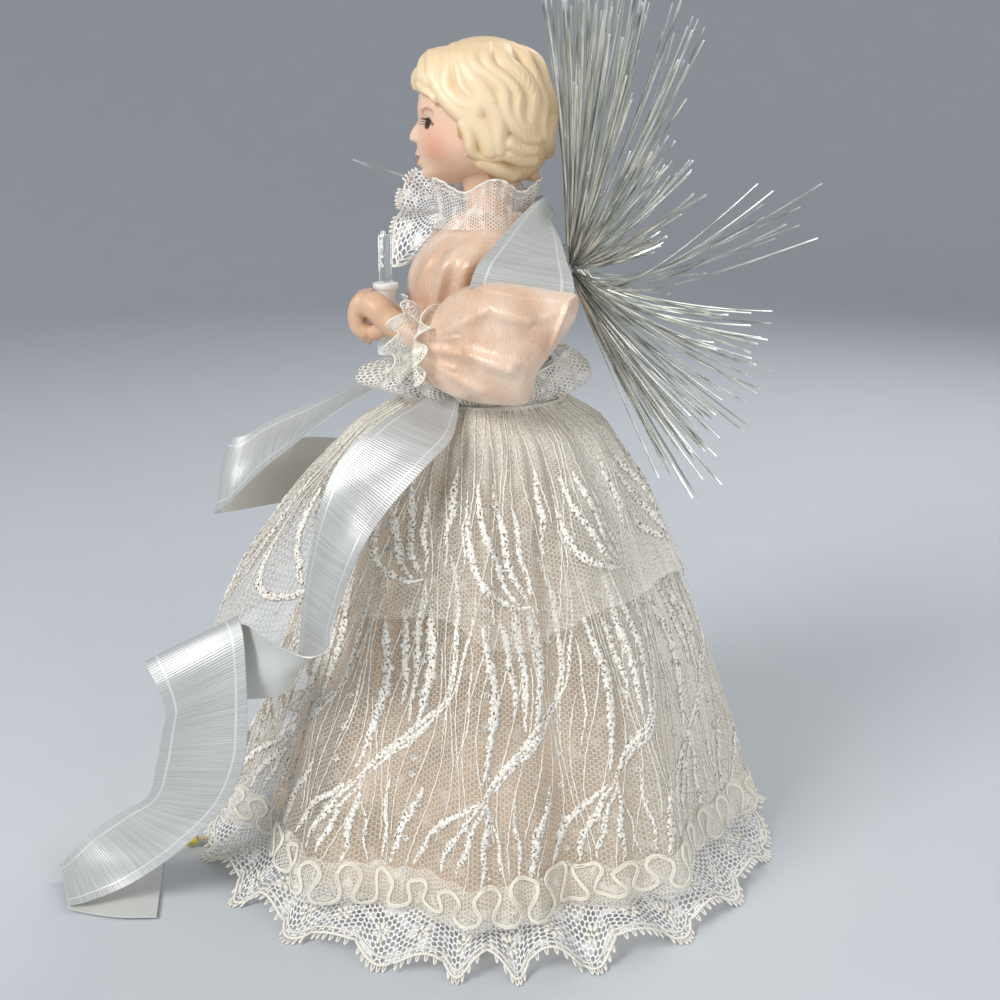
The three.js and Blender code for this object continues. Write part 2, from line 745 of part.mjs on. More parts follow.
// Ferrule round the lower end of the bundle, and the bracket it rests on
const ferruleBore = TRUNK_RADIUS + FIT;
const ferruleBottom = discBottom + WHEEL_THICKNESS + FERRULE_OVER_WHEEL;
const ferruleSeat = ferruleBottom + FERRULE_BELOW;
const ferruleFlangeTop = ferruleSeat + FERRULE_FLANGE_THICKNESS;
add(
  "ferrule",
  turned(
    [
      [ferruleBore, ferruleBottom],
      [FERRULE_RADIUS, ferruleBottom],
      [FERRULE_RADIUS, ferruleSeat],
      [FERRULE_FLANGE_RADIUS, ferruleSeat],
      [FERRULE_FLANGE_RADIUS, ferruleFlangeTop],
      [FERRULE_RADIUS, ferruleFlangeTop],
      [FERRULE_RADIUS, ferruleFlangeTop + FERRULE_ABOVE],
      [ferruleBore, ferruleFlangeTop + FERRULE_ABOVE],
      [ferruleBore, ferruleBottom],
    ],
    [FERRULE_X, 0, 0],
  ),
  0xc9a24d,
  0.3,
  0.9,
);
const bracketTop = ferruleSeat - FIT;
const bracketShape = new THREE.Shape();
[
  [BRACKET_X, motorBottom],
  [BRACKET_X + BRACKET_THICKNESS + BRACKET_FOOT, motorBottom],
  [BRACKET_X + BRACKET_THICKNESS + BRACKET_FOOT, motorBottom + BRACKET_THICKNESS],
  [BRACKET_X + BRACKET_THICKNESS, motorBottom + BRACKET_THICKNESS],
  [BRACKET_X + BRACKET_THICKNESS, bracketTop],
  [FERRULE_X - BRACKET_TIP, bracketTop],
  [FERRULE_X - BRACKET_TIP, bracketTop - BRACKET_THICKNESS],
  [BRACKET_X, bracketTop - BRACKET_THICKNESS],
].forEach(([x, z], i) => (i === 0 ? bracketShape.moveTo(x, z) : bracketShape.lineTo(x, z)));
bracketShape.closePath();
const bracketBlank = new THREE.ExtrudeGeometry(bracketShape, {
  depth: 2 * BRACKET_HALF_WIDTH,
  bevelEnabled: false,
});
bracketBlank.rotateX(Math.PI / 2);
bracketBlank.translate(0, BRACKET_HALF_WIDTH, 0);
const footTop = motorBottom + BRACKET_THICKNESS;
add(
  "ferrule_bracket",
  solid(bracketBlank)
    .subtract(bar(FERRULE_RADIUS + FIT, ferruleBottom, ferruleSeat + FERRULE_BELOW, [FERRULE_X, 0, 0]))
    .subtract(bar(BRACKET_SCREW_SHANK + FIT, DECK_Z, footTop + DECK_THICKNESS, [bracketScrewX, 0, 0])),
  0xb9bcbe,
  0.4,
  0.85,
);
add(
  "bracket_screw",
  turned(
    [
      [0, DECK_Z + FIT],
      [BRACKET_SCREW_SHANK, DECK_Z + FIT],
      [BRACKET_SCREW_SHANK, footTop + FIT],
      [BRACKET_SCREW_HEAD, footTop + FIT],
      [BRACKET_SCREW_HEAD, footTop + FIT + BRACKET_SCREW_HEAD_HEIGHT],
      [0, footTop + FIT + BRACKET_SCREW_HEAD_HEIGHT],
    ],
    [bracketScrewX, 0, 0],
    SCREW_SEGMENTS,
  ),
  0xa9abad,
  0.35,
  0.9,
);

// Gland for the supply lead
add(
  "lead_gland",
  turned(
    [
      [GLAND_BORE_RADIUS, flangeTop - GLAND_LENGTH],
      [GLAND_RADIUS, flangeTop - GLAND_LENGTH],
      [GLAND_RADIUS, flangeTop],
      [GLAND_BORE_RADIUS, flangeTop],
      [GLAND_BORE_RADIUS, flangeTop - GLAND_LENGTH],
    ],
    [glandX, 0, 0],
  ),
  0x3a3a3a,
  0.6,
);

// Bundle of strands from the ferrule to the boss, and the way cut for it
const trunkStart = ferruleBottom + FIT;
const trunkPath = [
  [FERRULE_X, 0, trunkStart],
  [FERRULE_X, 0, trunkStart + TRUNK_RISE],
  [FERRULE_X / 2, TRUNK_AT_WAIST, waist + TRUNK_AT_WAIST],
  [0, TRUNK_BEND_Y, hubZ - TRUNK_BEND_DROP],
  [0, TRUNK_TURN_Y, hubZ - TRUNK_TURN_DROP],
  [0, HUB_Y + HUB_THICKNESS - TRUNK_END_INSET, hubZ - TRUNK_END_DROP],
];
const wayPath = [
  ...trunkPath.slice(2),
  [0, HUB_Y + HUB_THICKNESS + 2 * TRUNK_RADIUS, hubZ + CUT_PAST],
];
wayPath.unshift([FERRULE_X, 0, waist - TRUNK_LEAD_IN]);
const way = swept(wayPath, TRUNK_RADIUS + 2 * FIT, TRUNK_SIDES, TRUNK_STEPS);
add("fibre_trunk", swept(trunkPath, TRUNK_RADIUS, TRUNK_SIDES, TRUNK_STEPS), 0xdcdcd4, 0.25);

// Torso with the way for the bundle, the hole for the bar and the seat for the neck
function torsoRing(z, extra) {
  const ring = [];
  const width = along(torsoSections, z, 1) + extra;
  const depth = along(torsoSections, z, 2) + extra;
  const middle = along(torsoSections, z, 3);
  for (let j = 0; j < TORSO_SIDES; j += 1) {
    const angle = (FULL_TURN * j) / TORSO_SIDES;
    ring.push(new THREE.Vector3(width * Math.cos(angle), middle + depth * Math.sin(angle), z));
  }
  return ring;
}
function crossBar(radius) {
  const geometry = new THREE.CylinderGeometry(radius, radius, 2 * BAR_HALF_LENGTH, SCREW_SEGMENTS);
  geometry.rotateZ(Math.PI / 2);
  geometry.translate(0, SHOULDER_Y, barZ);
  return solid(geometry);
}
const barHole = crossBar(BAR_RADIUS + FIT);
const torsoTop = torsoSections[torsoSections.length - 1][0];
add(
  "torso_form",
  solid(ringBody(torsoSections.map(([z]) => torsoRing(z, 0))))
    .subtract(way)
    .subtract(barHole)
    .subtract(bar(NECK_RADIUS + FIT, neckBottom - FIT, torsoTop + NECK_RADIUS, [0, NECK_Y, 0])),
  0xefece4,
  0.9,
);
add("shoulder_bar", crossBar(BAR_RADIUS), 0x9a9c9e, 0.4, 0.9);

// Bodice round the torso
const bodiceHeights = [
  bodiceBottom,
  ...torsoSections.map(([z]) => z).filter((z) => z > bodiceBottom && z < bodiceTop),
  bodiceTop,
];
const bodiceOuter = bodiceHeights.map((z) => torsoRing(z, 2 * FIT + BODICE_THICKNESS));
const bodiceInner = bodiceHeights.map((z) => torsoRing(z, 2 * FIT)).reverse();
add(
  "bodice",
  solid(ringBody([...bodiceOuter, ...bodiceInner], true)).subtract(way).subtract(barHole),
  0xddb9a0,
  0.35,
);

// Boss at the back that the strands leave from
const hubBlank = new THREE.CylinderGeometry(HUB_RADIUS, HUB_RADIUS, HUB_THICKNESS, ROUND_SEGMENTS);
hubBlank.translate(0, HUB_Y + HUB_THICKNESS / 2, hubZ);
add("fibre_hub", solid(hubBlank).subtract(way), 0xd8d8d2, 0.4);

// Strands: four sprays, each on its own quarter of a dome
const domeY = HUB_Y + HUB_THICKNESS + FIT;
function spray(sideX, sideZ, cells, leanTo, bendBy) {
  const middle = new THREE.Vector3((sideX * FIT) / 2, domeY, hubZ + (sideZ * FIT) / 2);
  const [bendBack, bendUp] = bendBy;
  const points = [middle];
  const faces = [];
  const heading = (i, j) => {
    const turn = ((Math.PI / 2) * i) / CELLS_AROUND;
    const lean = THREE.MathUtils.degToRad(LEAN_FROM + ((leanTo - LEAN_FROM) * j) / cells);
    return new THREE.Vector3(
      sideX * Math.sin(lean) * Math.cos(turn),
      Math.cos(lean),
      sideZ * Math.sin(lean) * Math.sin(turn),
    );
  };
  const corner = (i, j) => 1 + j * (CELLS_AROUND + 1) + i;
  for (let j = 0; j <= cells; j += 1) {
    for (let i = 0; i <= CELLS_AROUND; i += 1) {
      points.push(middle.clone().addScaledVector(heading(i, j), DOME_RADIUS));
    }
  }
  for (let j = 0; j < cells; j += 1) {
    for (let i = 0; i < CELLS_AROUND; i += 1) {
      const [low, right] = [corner(i, j), corner(i + 1, j)];
      const [far, left] = [corner(i + 1, j + 1), corner(i, j + 1)];
      const out = heading(i + 0.5, j + 0.5);
      const across = points[right].clone().sub(points[low]);
      const root = new THREE.Vector3();
      [low, right, far, left].forEach((k) => root.addScaledVector(points[k], 1 / 4));
      const rootRadius = Math.min(STRAND_RADIUS, STRAND_ROOT_SHARE * across.length());
      const side = across.normalize();
      const other = points[left].clone().sub(points[low]);
      other.addScaledVector(side, -other.dot(side)).normalize();
      const mean = STRAND_LENGTH * (1 - STRAND_BACK_SHARE * out.y);
      const uneven = Math.sin(STRAND_SPREAD_STEPS[0] * i + STRAND_SPREAD_STEPS[1] * j);
      const length = mean + STRAND_LENGTH_SPREAD * uneven;
      const first = points.length;
      for (let k = 0; k <= STRAND_STEPS; k += 1) {
        const share = k / STRAND_STEPS;
        const at = root.clone().addScaledVector(out, length * share);
        at.y += bendBack * share * share;
        at.z += bendUp * Math.abs(out.z) * share * share;
        const radius = k === 0 ? rootRadius : STRAND_RADIUS;
        for (let c = 0; c < 3; c += 1) {
          const angle = Math.PI / 2 + (FULL_TURN * c) / 3;
          const p = at.clone().addScaledVector(side, radius * Math.cos(angle));
          points.push(p.addScaledVector(other, radius * Math.sin(angle)));
        }
      }
      const [t0, t1, t2] = [first, first + 1, first + 2];
      faces.push(t0, far, left, t0, left, t1, t1, left, low, t1, low, right);
      faces.push(t1, right, t2, t2, right, far, t2, far, t0);
      for (let k = 0; k < STRAND_STEPS; k += 1) {
        for (let c = 0; c < 3; c += 1) {
          const [a, b] = [first + 3 * k + c, first + 3 * k + ((c + 1) % 3)];
          faces.push(a, b, b + 3, a, b + 3, a + 3);
        }
      }
      const tip = first + 3 * STRAND_STEPS;
      faces.push(tip, tip + 1, tip + 2);
    }
  }
  const rim = [];
  for (let i = 0; i < CELLS_AROUND; i += 1) rim.push(corner(i, 0));
  for (let j = 0; j < cells; j += 1) rim.push(corner(CELLS_AROUND, j));
  for (let i = CELLS_AROUND; i > 0; i -= 1) rim.push(corner(i, cells));
  for (let j = cells; j > 0; j -= 1) rim.push(corner(0, j));
  rim.forEach((k, n) => faces.push(rim[(n + 1) % rim.length], k, 0));
  return outward(points, faces);
}
add("fibre_spray_upper_left", spray(1, 1, UPPER_CELLS, UPPER_LEAN_TO, UPPER_BEND), 0xc4c6bc, 0.2);
add("fibre_spray_upper_right", spray(-1, 1, UPPER_CELLS, UPPER_LEAN_TO, UPPER_BEND), 0xc4c6bc, 0.2);
add("fibre_spray_lower_left", spray(1, -1, LOWER_CELLS, LOWER_LEAN_TO, LOWER_BEND), 0xc4c6bc, 0.2);
add("fibre_spray_lower_right", spray(-1, -1, LOWER_CELLS, LOWER_LEAN_TO, LOWER_BEND), 0xc4c6bc, 0.2);

// Head with moulded hair, and its neck
function bump(n, at, [across, up]) {
  return Math.exp(-(n.x ** 2) / across - (n.z - at) ** 2 / up);
}
const headRings = [];
for (let i = 1; i < HEAD_ROWS; i += 1) {
  const tilt = (Math.PI * i) / HEAD_ROWS;
  const ring = [];
  for (let j = 0; j < HEAD_SIDES; j += 1) {
    const turn = (FULL_TURN * j) / HEAD_SIDES;
    const n = new THREE.Vector3(
      Math.sin(tilt) * Math.cos(turn),
      Math.sin(tilt) * Math.sin(turn),
      Math.cos(tilt),
    );
    const facing = n.y < 0 ? 1 : 0;
    const past = Math.max(n.z - HAIR_LINE_TOP, n.y - HAIR_LINE_SIDE);
    const hair = THREE.MathUtils.smoothstep(past, 0, HAIR_EDGE);
    const nose = facing * NOSE_LIFT * bump(n, NOSE_AT, NOSE_SPREAD);
    const chin = facing * CHIN_LIFT * bump(n, CHIN_AT, CHIN_SPREAD);
    const narrow = 1 - JAW_NARROWING * THREE.MathUtils.smoothstep(-n.z, ...JAW_SPAN);
    const lift = hair * (HAIR_LIFT + HAIR_WAVE * Math.cos(HAIR_WAVES * turn) * Math.sin(tilt));
    ring.push(
      new THREE.Vector3(
        (HEAD_HALF[0] * narrow + lift) * n.x,
        HEAD_Y + (HEAD_HALF[1] + lift + nose + chin) * n.y,
        headZ + (HEAD_HALF[2] + lift) * n.z,
      ),
    );
  }
  headRings.push(ring);
}
add(
  "head",
  solid(ringBody(headRings)).add(
    bar(NECK_RADIUS, neckBottom, headZ - HEAD_HALF[2] / 2, [0, NECK_Y, 0]),
  ),
  0xe3bfa2,
  0.5,
);

// Collar that stands round the neck and falls in front
add(
  "collar",
  clothRing(
    (angle, share) => {
      const front = frontness(angle, FALL_HALF_ANGLE);
      const wave = COLLAR_WAVE_HEIGHT * share * Math.cos(COLLAR_WAVES * angle);
      const radius = COLLAR_RADIUS + share * COLLAR_SPREAD + front * share * FALL_LENGTH + wave;
      const rise = COLLAR_RISE * share - front * FALL_DROP * share * share;
      const p = polar(radius, angle, waist + COLLAR_ABOVE_WAIST + rise - wave / 2);
      p.y += NECK_Y;
      return p;
    },
    COLLAR_SIDES,
    COLLAR_ROWS,
    COLLAR_THICKNESS,
  ),
  0xf2f0ea,
  0.8,
);

// Arms: a wire in each, a full sleeve, a lace cuff and a hand
function sleeve(sign) {
  const rings = SLEEVE_RINGS.map(([degrees, distance, half, middleX, halfX]) => {
    const angle = THREE.MathUtils.degToRad(degrees);
    const ring = [];
    for (let j = 0; j < SLEEVE_SIDES; j += 1) {
      const turn = (FULL_TURN * j) / SLEEVE_SIDES;
      const out = distance + half * Math.cos(turn);
      ring.push(
        new THREE.Vector3(
          sign * (middleX + halfX * Math.sin(turn)),
          SLEEVE_PIVOT_Y + out * Math.cos(angle),
          waist + SLEEVE_PIVOT_ABOVE_WAIST + out * Math.sin(angle),
        ),
      );
    }
    return ring;
  });
  return solid(ringBody(rings));
}
function hand(at) {
  const geometry = new THREE.SphereGeometry(1, HAND_SIDES, HAND_ROWS);
  geometry.scale(...HAND_RADII);
  geometry.translate(...at);
  return solid(geometry);
}
function cuff(sign) {
  const middle = new THREE.Vector3(sign * CUFF_AT[0], CUFF_AT[1], waist + CUFF_AT[2]);
  const axis = new THREE.Vector3(sign * CUFF_AXIS[0], CUFF_AXIS[1], CUFF_AXIS[2]).normalize();
  const side = axis.clone().cross(new THREE.Vector3(0, 0, 1)).normalize();
  const up = side.clone().cross(axis);
  const surface = (angle, share) => {
    const wave = CUFF_WAVE_HEIGHT * share * Math.cos(CUFF_WAVES * angle);
    const radius = CUFF_INNER_RADIUS + share * (CUFF_OUTER_RADIUS - CUFF_INNER_RADIUS);
    return middle
      .clone()
      .addScaledVector(axis, CUFF_THICKNESS + FIT + CUFF_FORWARD * share + wave)
      .addScaledVector(side, radius * Math.cos(angle))
      .addScaledVector(up, radius * Math.sin(angle));
  };
  return solid(clothRing(surface, CUFF_SIDES, 1, CUFF_THICKNESS));
}
function arm(side, sign, wirePath, handAt, grip) {
  const wire = swept(wirePath, WIRE_RADIUS, WIRE_SIDES, WIRE_STEPS);
  const wireWay = swept(wirePath, WIRE_RADIUS + FIT, WIRE_SIDES, WIRE_STEPS);
  const lastTwo = wirePath.slice(-2);
  const wrist = swept(lastTwo, WRIST_RADIUS, WIRE_SIDES * 2, 1);
  const wristWay = swept(lastTwo, WRIST_RADIUS + FIT, WIRE_SIDES * 2, 1);
  add(`${side}_arm_wire`, wire, 0x9a9c9e, 0.4, 0.9);
  add(`${side}_sleeve`, sleeve(sign).subtract(wireWay).subtract(wristWay), 0xddb9a0, 0.35);
  add(`${side}_cuff`, cuff(sign).subtract(wristWay), 0xf2f0ea, 0.8);
  let fist = hand(handAt).add(wrist).subtract(wireWay);
  if (grip) fist = fist.subtract(grip);
  add(`${side}_hand`, fist, 0xddb18c, 0.5);
}
const candleAt = [CANDLE_X, CANDLE_Y, 0];
const grip = bar(CANDLE_RADIUS + FIT, candleBottom - CUT_PAST, candleRim + CUT_PAST, candleAt);
arm("left", 1, LEFT_WIRE.map(aboveWaist), aboveWaist(LEFT_HAND_AT), grip);
arm("right", -1, RIGHT_WIRE.map(aboveWaist), aboveWaist(RIGHT_HAND_AT), null);

// Candle with its clear rod
const candleTop = candleRim + CANDLE_RIM_HEIGHT;
const rodTop = candleTop + ROD_SHOWS;
add(
  "candle",
  turned(
    [
      [0, candleBottom],
      [CANDLE_RADIUS, candleBottom],
      [CANDLE_RADIUS, candleRim],
      [CANDLE_RIM_RADIUS, candleRim],
      [CANDLE_RIM_RADIUS, candleTop],
      [ROD_RADIUS + FIT, candleTop],
      [ROD_RADIUS + FIT, candleTop - ROD_SEAT],
      [0, candleTop - ROD_SEAT],
    ],
    candleAt,
    CANDLE_SEGMENTS,
  ),
  0xedefea,
  0.4,
);
add(
  "candle_rod",
  turned(
    [
      [0, candleTop - ROD_SEAT + FIT],
      [ROD_RADIUS, candleTop - ROD_SEAT + FIT],
      [ROD_RADIUS, rodTop - ROD_CHAMFER],
      [ROD_RADIUS - ROD_CHAMFER, rodTop],
      [0, rodTop],
    ],
    candleAt,
  ),
  0xdfe6e4,
  0.1,
);

// Satin underskirt close over the cone
const underTop = waist - UNDERSKIRT_BELOW_WAIST;
function underskirtRadius(angle, z) {
  const share = (underTop - z) / (underTop - UNDERSKIRT_BOTTOM_Z);
  const fold = (1 + Math.cos(UNDERSKIRT_FOLDS * angle)) / 2;
  return coneRadius(z) + 2 * FIT + CLOTH_THICKNESS / 2 + UNDERSKIRT_FOLD_DEPTH * share * fold;
}
add(
  "underskirt",
  clothRing(
    (angle, share) => {
      const z = underTop - share * (underTop - UNDERSKIRT_BOTTOM_Z);
      return polar(underskirtRadius(angle, z), angle, z);
    },
    UNDERSKIRT_SIDES,
    UNDERSKIRT_ROWS,
    CLOTH_THICKNESS,
  ),
  0xd9b296,
  0.35,
);

// Lace overskirt in deep folds
const overTop = waist - OVERSKIRT_BELOW_WAIST;
function overskirtRadius(angle, z) {
  const share = (overTop - z) / (overTop - OVERSKIRT_BOTTOM_Z);
  const stand = along(OVERSKIRT_STAND, share, 1);
  const fold = OVERSKIRT_FOLD_DEPTH * Math.max(0, share) * Math.cos(OVERSKIRT_FOLDS * angle);
  return coneRadius(z) + 3 * FIT + 1.5 * CLOTH_THICKNESS + stand + fold;
}
add(
  "overskirt",
  clothRing(
    (angle, share) => {
      const z = overTop - share * (overTop - OVERSKIRT_BOTTOM_Z);
      return polar(overskirtRadius(angle, z), angle, z);
    },
    OVERSKIRT_SIDES,
    OVERSKIRT_ROWS,
    CLOTH_THICKNESS,
  ),
  0xede6da,
  0.8,
);

// Upper lace tier, puffed out in front
add(
  "peplum",
  clothRing(
    (angle, share) => {
      const front = frontness(angle, PEPLUM_PUFF_HALF_ANGLE);
      const fall = PEPLUM_LENGTH + PEPLUM_FRONT_DROP * front;
      const z = waist + PEPLUM_ABOVE_WAIST - share * fall;
      const fold = (PEPLUM_FOLD_DEPTH * share * (1 + Math.cos(PEPLUM_FOLDS * angle))) / 2;
      const puff = PEPLUM_PUFF * front * Math.sin(share * PEPLUM_PUFF_TURN);
      const stand = PEPLUM_GAP + PEPLUM_STAND * share + fold + puff;
      return polar(overskirtRadius(angle, z) + stand, angle, z);
    },
    PEPLUM_SIDES,
    PEPLUM_ROWS,
    CLOTH_THICKNESS,
  ),
  0xf0eade,
  0.8,
);

// Gathered lace at the hem
const ruffleInner = overskirtRadius(0, OVERSKIRT_BOTTOM_Z) - 2 * OVERSKIRT_FOLD_DEPTH;
add(
  "hem_ruffle",
  clothRing(
    (angle, share) => {
      const wave = RUFFLE_WAVE_HEIGHT * share * Math.cos(RUFFLE_WAVES * angle);
      const z = RUFFLE_INNER_Z + share * (RUFFLE_OUTER_Z - RUFFLE_INNER_Z) + wave;
      return polar(ruffleInner + RUFFLE_WIDTH * share, angle, z);
    },
    RUFFLE_SIDES,
    RUFFLE_ROWS,
    CLOTH_THICKNESS,
  ),
  0xf2f2f2,
  0.8,
);

// Braid round the foot of the overskirt
add(
  "hem_braid",
  clothRing(
    (angle, share) => {
      const z = BRAID_BOTTOM_Z + BRAID_HEIGHT * (1 - share);
      const gap = CLOTH_THICKNESS / 2 + BRAID_THICKNESS / 2 + 2 * FIT;
      return polar(overskirtRadius(angle, z) + gap, angle, z);
    },
    OVERSKIRT_SIDES,
    1,
    BRAID_THICKNESS,
  ),
  0xe9e2cc,
  0.7,
);

// Ribbon round the waist
const sashOuter = [];
const sashInner = [];
[SASH_BOTTOM_ABOVE_WAIST, SASH_TOP_ABOVE_WAIST].forEach((above) => {
  const gap = 3 * FIT + BODICE_THICKNESS;
  sashOuter.push(torsoRing(waist + above, gap + RIBBON_THICKNESS));
  sashInner.unshift(torsoRing(waist + above, gap));
});
add("waist_sash", ringBody([...sashOuter, ...sashInner], true), 0xc9cccb, 0.4);

// Ribbon over each shoulder
function strap(sign) {
  const pairs = STRAP_STATIONS.map(([ax, ay, az, bx, by, bz]) => [
    new THREE.Vector3(sign * ax, ay, waist + az),
    new THREE.Vector3(sign * bx, by, waist + bz),
  ]);
  return ribbon(pairs);
}
add("left_strap", strap(1), 0xc9cccb, 0.4);
add("right_strap", strap(-1), 0xc9cccb, 0.4);

// Ribbon tails that fall in folds
function streamer(stations) {
  const fall = waist / TAIL_DRAWN_FOR;
  const edge = (from) =>
    new THREE.CatmullRomCurve3(
      stations.map((s) => new THREE.Vector3(s[from], s[from + 1], s[from + 2] * fall)),
    );
  const [first, second] = [edge(0), edge(3)];
  const steps = TAIL_STEPS_PER_STATION * (stations.length - 1);
  const pairs = [];
  for (let i = 0; i <= steps; i += 1) pairs.push([first.getPoint(i / steps), second.getPoint(i / steps)]);
  return ribbon(pairs);
}
add("left_streamer", streamer(LEFT_STREAMER), 0xc9cccb, 0.4);
add("right_streamer", streamer(RIGHT_STREAMER), 0xc9cccb, 0.4);

// Cord end at the front hem, with its binding
const cordRoot = ruffleInner + RUFFLE_WIDTH + CLOTH_THICKNESS + FIT;
const cordOut = new THREE.Vector3(Math.cos(CORD_ANGLE), Math.sin(CORD_ANGLE), 0);
function cordPiece(outerRadius, from, length) {
  const start = cordOut.clone().multiplyScalar(cordRoot + from);
  const end = cordOut.clone().multiplyScalar(cordRoot + from + length);
  return swept([[start.x, start.y, CORD_Z], [end.x, end.y, CORD_Z]], outerRadius, TRUNK_SIDES, 1);
}
add("hem_cord_end", cordPiece(CORD_RADIUS, 0, CORD_LENGTH), 0xd8c9a6, 0.8);
add(
  "hem_cord_binding",
  cordPiece(BINDING_RADIUS, BINDING_AT, BINDING_LENGTH).subtract(
    cordPiece(CORD_RADIUS + FIT, 0, CORD_LENGTH),
  ),
  0xe2d21a,
  0.6,
);

export default group;
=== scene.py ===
import bpy
import numpy as np
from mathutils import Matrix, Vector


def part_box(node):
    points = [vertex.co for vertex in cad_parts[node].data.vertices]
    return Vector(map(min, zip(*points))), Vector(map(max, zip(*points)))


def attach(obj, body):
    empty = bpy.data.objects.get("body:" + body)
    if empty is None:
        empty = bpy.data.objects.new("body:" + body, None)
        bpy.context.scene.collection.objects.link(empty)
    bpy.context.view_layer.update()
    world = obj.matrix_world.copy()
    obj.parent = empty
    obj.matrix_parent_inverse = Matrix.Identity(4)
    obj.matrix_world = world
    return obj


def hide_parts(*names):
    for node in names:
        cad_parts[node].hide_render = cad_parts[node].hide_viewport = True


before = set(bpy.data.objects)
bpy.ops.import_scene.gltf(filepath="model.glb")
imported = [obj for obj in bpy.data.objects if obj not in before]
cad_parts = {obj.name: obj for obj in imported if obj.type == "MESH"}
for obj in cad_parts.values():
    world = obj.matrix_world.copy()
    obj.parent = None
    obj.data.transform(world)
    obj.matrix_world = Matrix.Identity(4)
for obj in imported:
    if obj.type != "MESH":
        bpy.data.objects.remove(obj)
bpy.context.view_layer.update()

# Cone form: the hidden dress form that carries the whole figure.
# It is a thin white styrene cone, vacuum moulded, with a rim turned in at its foot.


def linear(code):
    """A colour written RRGGBB in sRGB, as linear red, green and blue with alpha 1."""
    share = np.array([int(code[i : i + 2], 16) for i in (0, 2, 4)]) / 255
    bright = np.where(share <= 0.04045, share / 12.92, ((share + 0.055) / 1.055) ** 2.4)
    return (*bright.tolist(), 1.0)


def add(tree, kind, inputs=None, **settings):
    """Adds a node, gives it its settings, and fills its inputs with values or with links from other nodes."""
    made = tree.nodes.new(kind)
    for key, value in settings.items():
        setattr(made, key, value)
    for key, value in (inputs or {}).items():
        if isinstance(value, bpy.types.NodeSocket):
            tree.links.new(value, made.inputs[key])
        else:
            made.inputs[key].default_value = value
    return made


def start_material(name, color, roughness, **more):
    """A material of one colour and roughness, its node tree and its shader's sockets."""
    material = bpy.data.materials.new(name)
    material.use_nodes = True
    sockets = material.node_tree.nodes["Principled BSDF"].inputs
    sockets["Base Color"].default_value = linear(color)
    sockets["Roughness"].default_value = roughness
    for key, value in more.items():
        sockets[key.replace("_", " ")].default_value = value
    return material, material.node_tree, sockets


def clouded(name, light, dark, roughness, patch_mm, relief_mm, **more):
    """A moulded or rolled surface: two close colours in soft patches, and a low relief of those patches."""
    material, tree, sockets = start_material(name, light, roughness, **more)
    place = add(tree, "ShaderNodeTexCoord").outputs["Object"]
    cloud = add(tree, "ShaderNodeTexNoise", {"Vector": place, "Scale": 1000 / patch_mm, "Detail": 5.0})
    both = {0: cloud.outputs[0], 6: linear(dark), 7: linear(light)}
    tree.links.new(add(tree, "ShaderNodeMix", both, data_type="RGBA").outputs[2], sockets["Base Color"])
    relief = {"Height": cloud.outputs[0], "Distance": relief_mm / 1000, "Strength": 0.6}
    tree.links.new(add(tree, "ShaderNodeBump", relief).outputs["Normal"], sockets["Normal"])
    return material


def dress(material, slot, *names):
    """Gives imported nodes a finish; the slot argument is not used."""
    for name in names:
        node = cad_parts[name]
        node.data.materials.clear()
        node.data.materials.append(material)


# Vacuum-moulded styrene: milky white with a faint orange-peel skin
dress(clouded("moulded styrene", "E6E2D8", "DCD7CB", 0.55, 6, 0.05), "cone_plastic", "cone_form")

# Works inside the cone: a deck with the tree socket, a small motor that turns a film wheel over a lamp,
# and the clamp that holds the strands above it. Moulded plastic, plated steel, brass, glass and rubber.
# Moulded plastics: an even satin face with faint flow marks
white_plastic = clouded("moulded white plastic", "E8E6E0", "DEDBD3", 0.45, 4, 0.03)
black_plastic = clouded("heat-proof black plastic", "2B2A29", "1F1E1E", 0.5, 3, 0.03)
# Plated steel and turned brass: clear reflections, a little clouded by the bath or the lathe
zinc = clouded("zinc-plated steel", "B9BBBD", "9A9DA0", 0.32, 2, 0.01, Metallic=1.0)
brass = clouded("turned brass", "C9A45A", "B58E48", 0.28, 3, 0.01, Metallic=1.0)
# Rubber is dull all over, and blown lamp glass is clear with a faint ripple
rubber = clouded("grey rubber", "4A4846", "3C3A39", 0.75, 2, 0.03)
glass = clouded("lamp glass", "F4F1E8", "ECE8DC", 0.06, 5, 0.005, Transmission_Weight=0.9, IOR=1.5)
dress(white_plastic, "deck_plastic", "lamp_deck", "tree_socket")
dress(black_plastic, "holder_plastic", "lamp_holder")
dress(zinc, "steel", "socket_screw_front", "socket_screw_back", "motor", "wheel_shaft", "ferrule_bracket")
dress(zinc, "steel", "bracket_screw", "shoulder_bar", "left_arm_wire", "right_arm_wire")
dress(brass, "brass", "ferrule")
dress(rubber, "gland_rubber", "lead_gland")
dress(glass, "lamp_glass", "lamp")

# Film wheel: a clear disc with four tinted quarters, turned slowly between lamp and strands.
# The film is printed polyester, so each quarter is one even, see-through colour.
film, film_tree, film_sockets = start_material("tinted film", "E8E8E8", 0.15, Transmission_Weight=0.6)
wheel_low, wheel_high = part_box("color_wheel")
wheel_middle = [-(low + high) / 2 for low, high in zip(wheel_low, wheel_high)]
film_place = add(film_tree, "ShaderNodeTexCoord").outputs["Object"]
centred = add(film_tree, "ShaderNodeMapping", {"Vector": film_place, "Location": wheel_middle})
quarter = add(film_tree, "ShaderNodeTexGradient", {"Vector": centred.outputs[0]}, gradient_type="RADIAL")
tints = add(film_tree, "ShaderNodeValToRGB", {"Fac": quarter.outputs["Fac"]})
tints.color_ramp.interpolation = "CONSTANT"
for step, code in enumerate(("D8473E", "E8C23C", "3FA05A", "3E66C4")):
    stop = tints.color_ramp.elements[step] if step < 2 else tints.color_ramp.elements.new(step / 4)
    stop.position = step / 4
    stop.color = linear(code)
film_tree.links.new(tints.outputs["Color"], film_sockets["Base Color"])
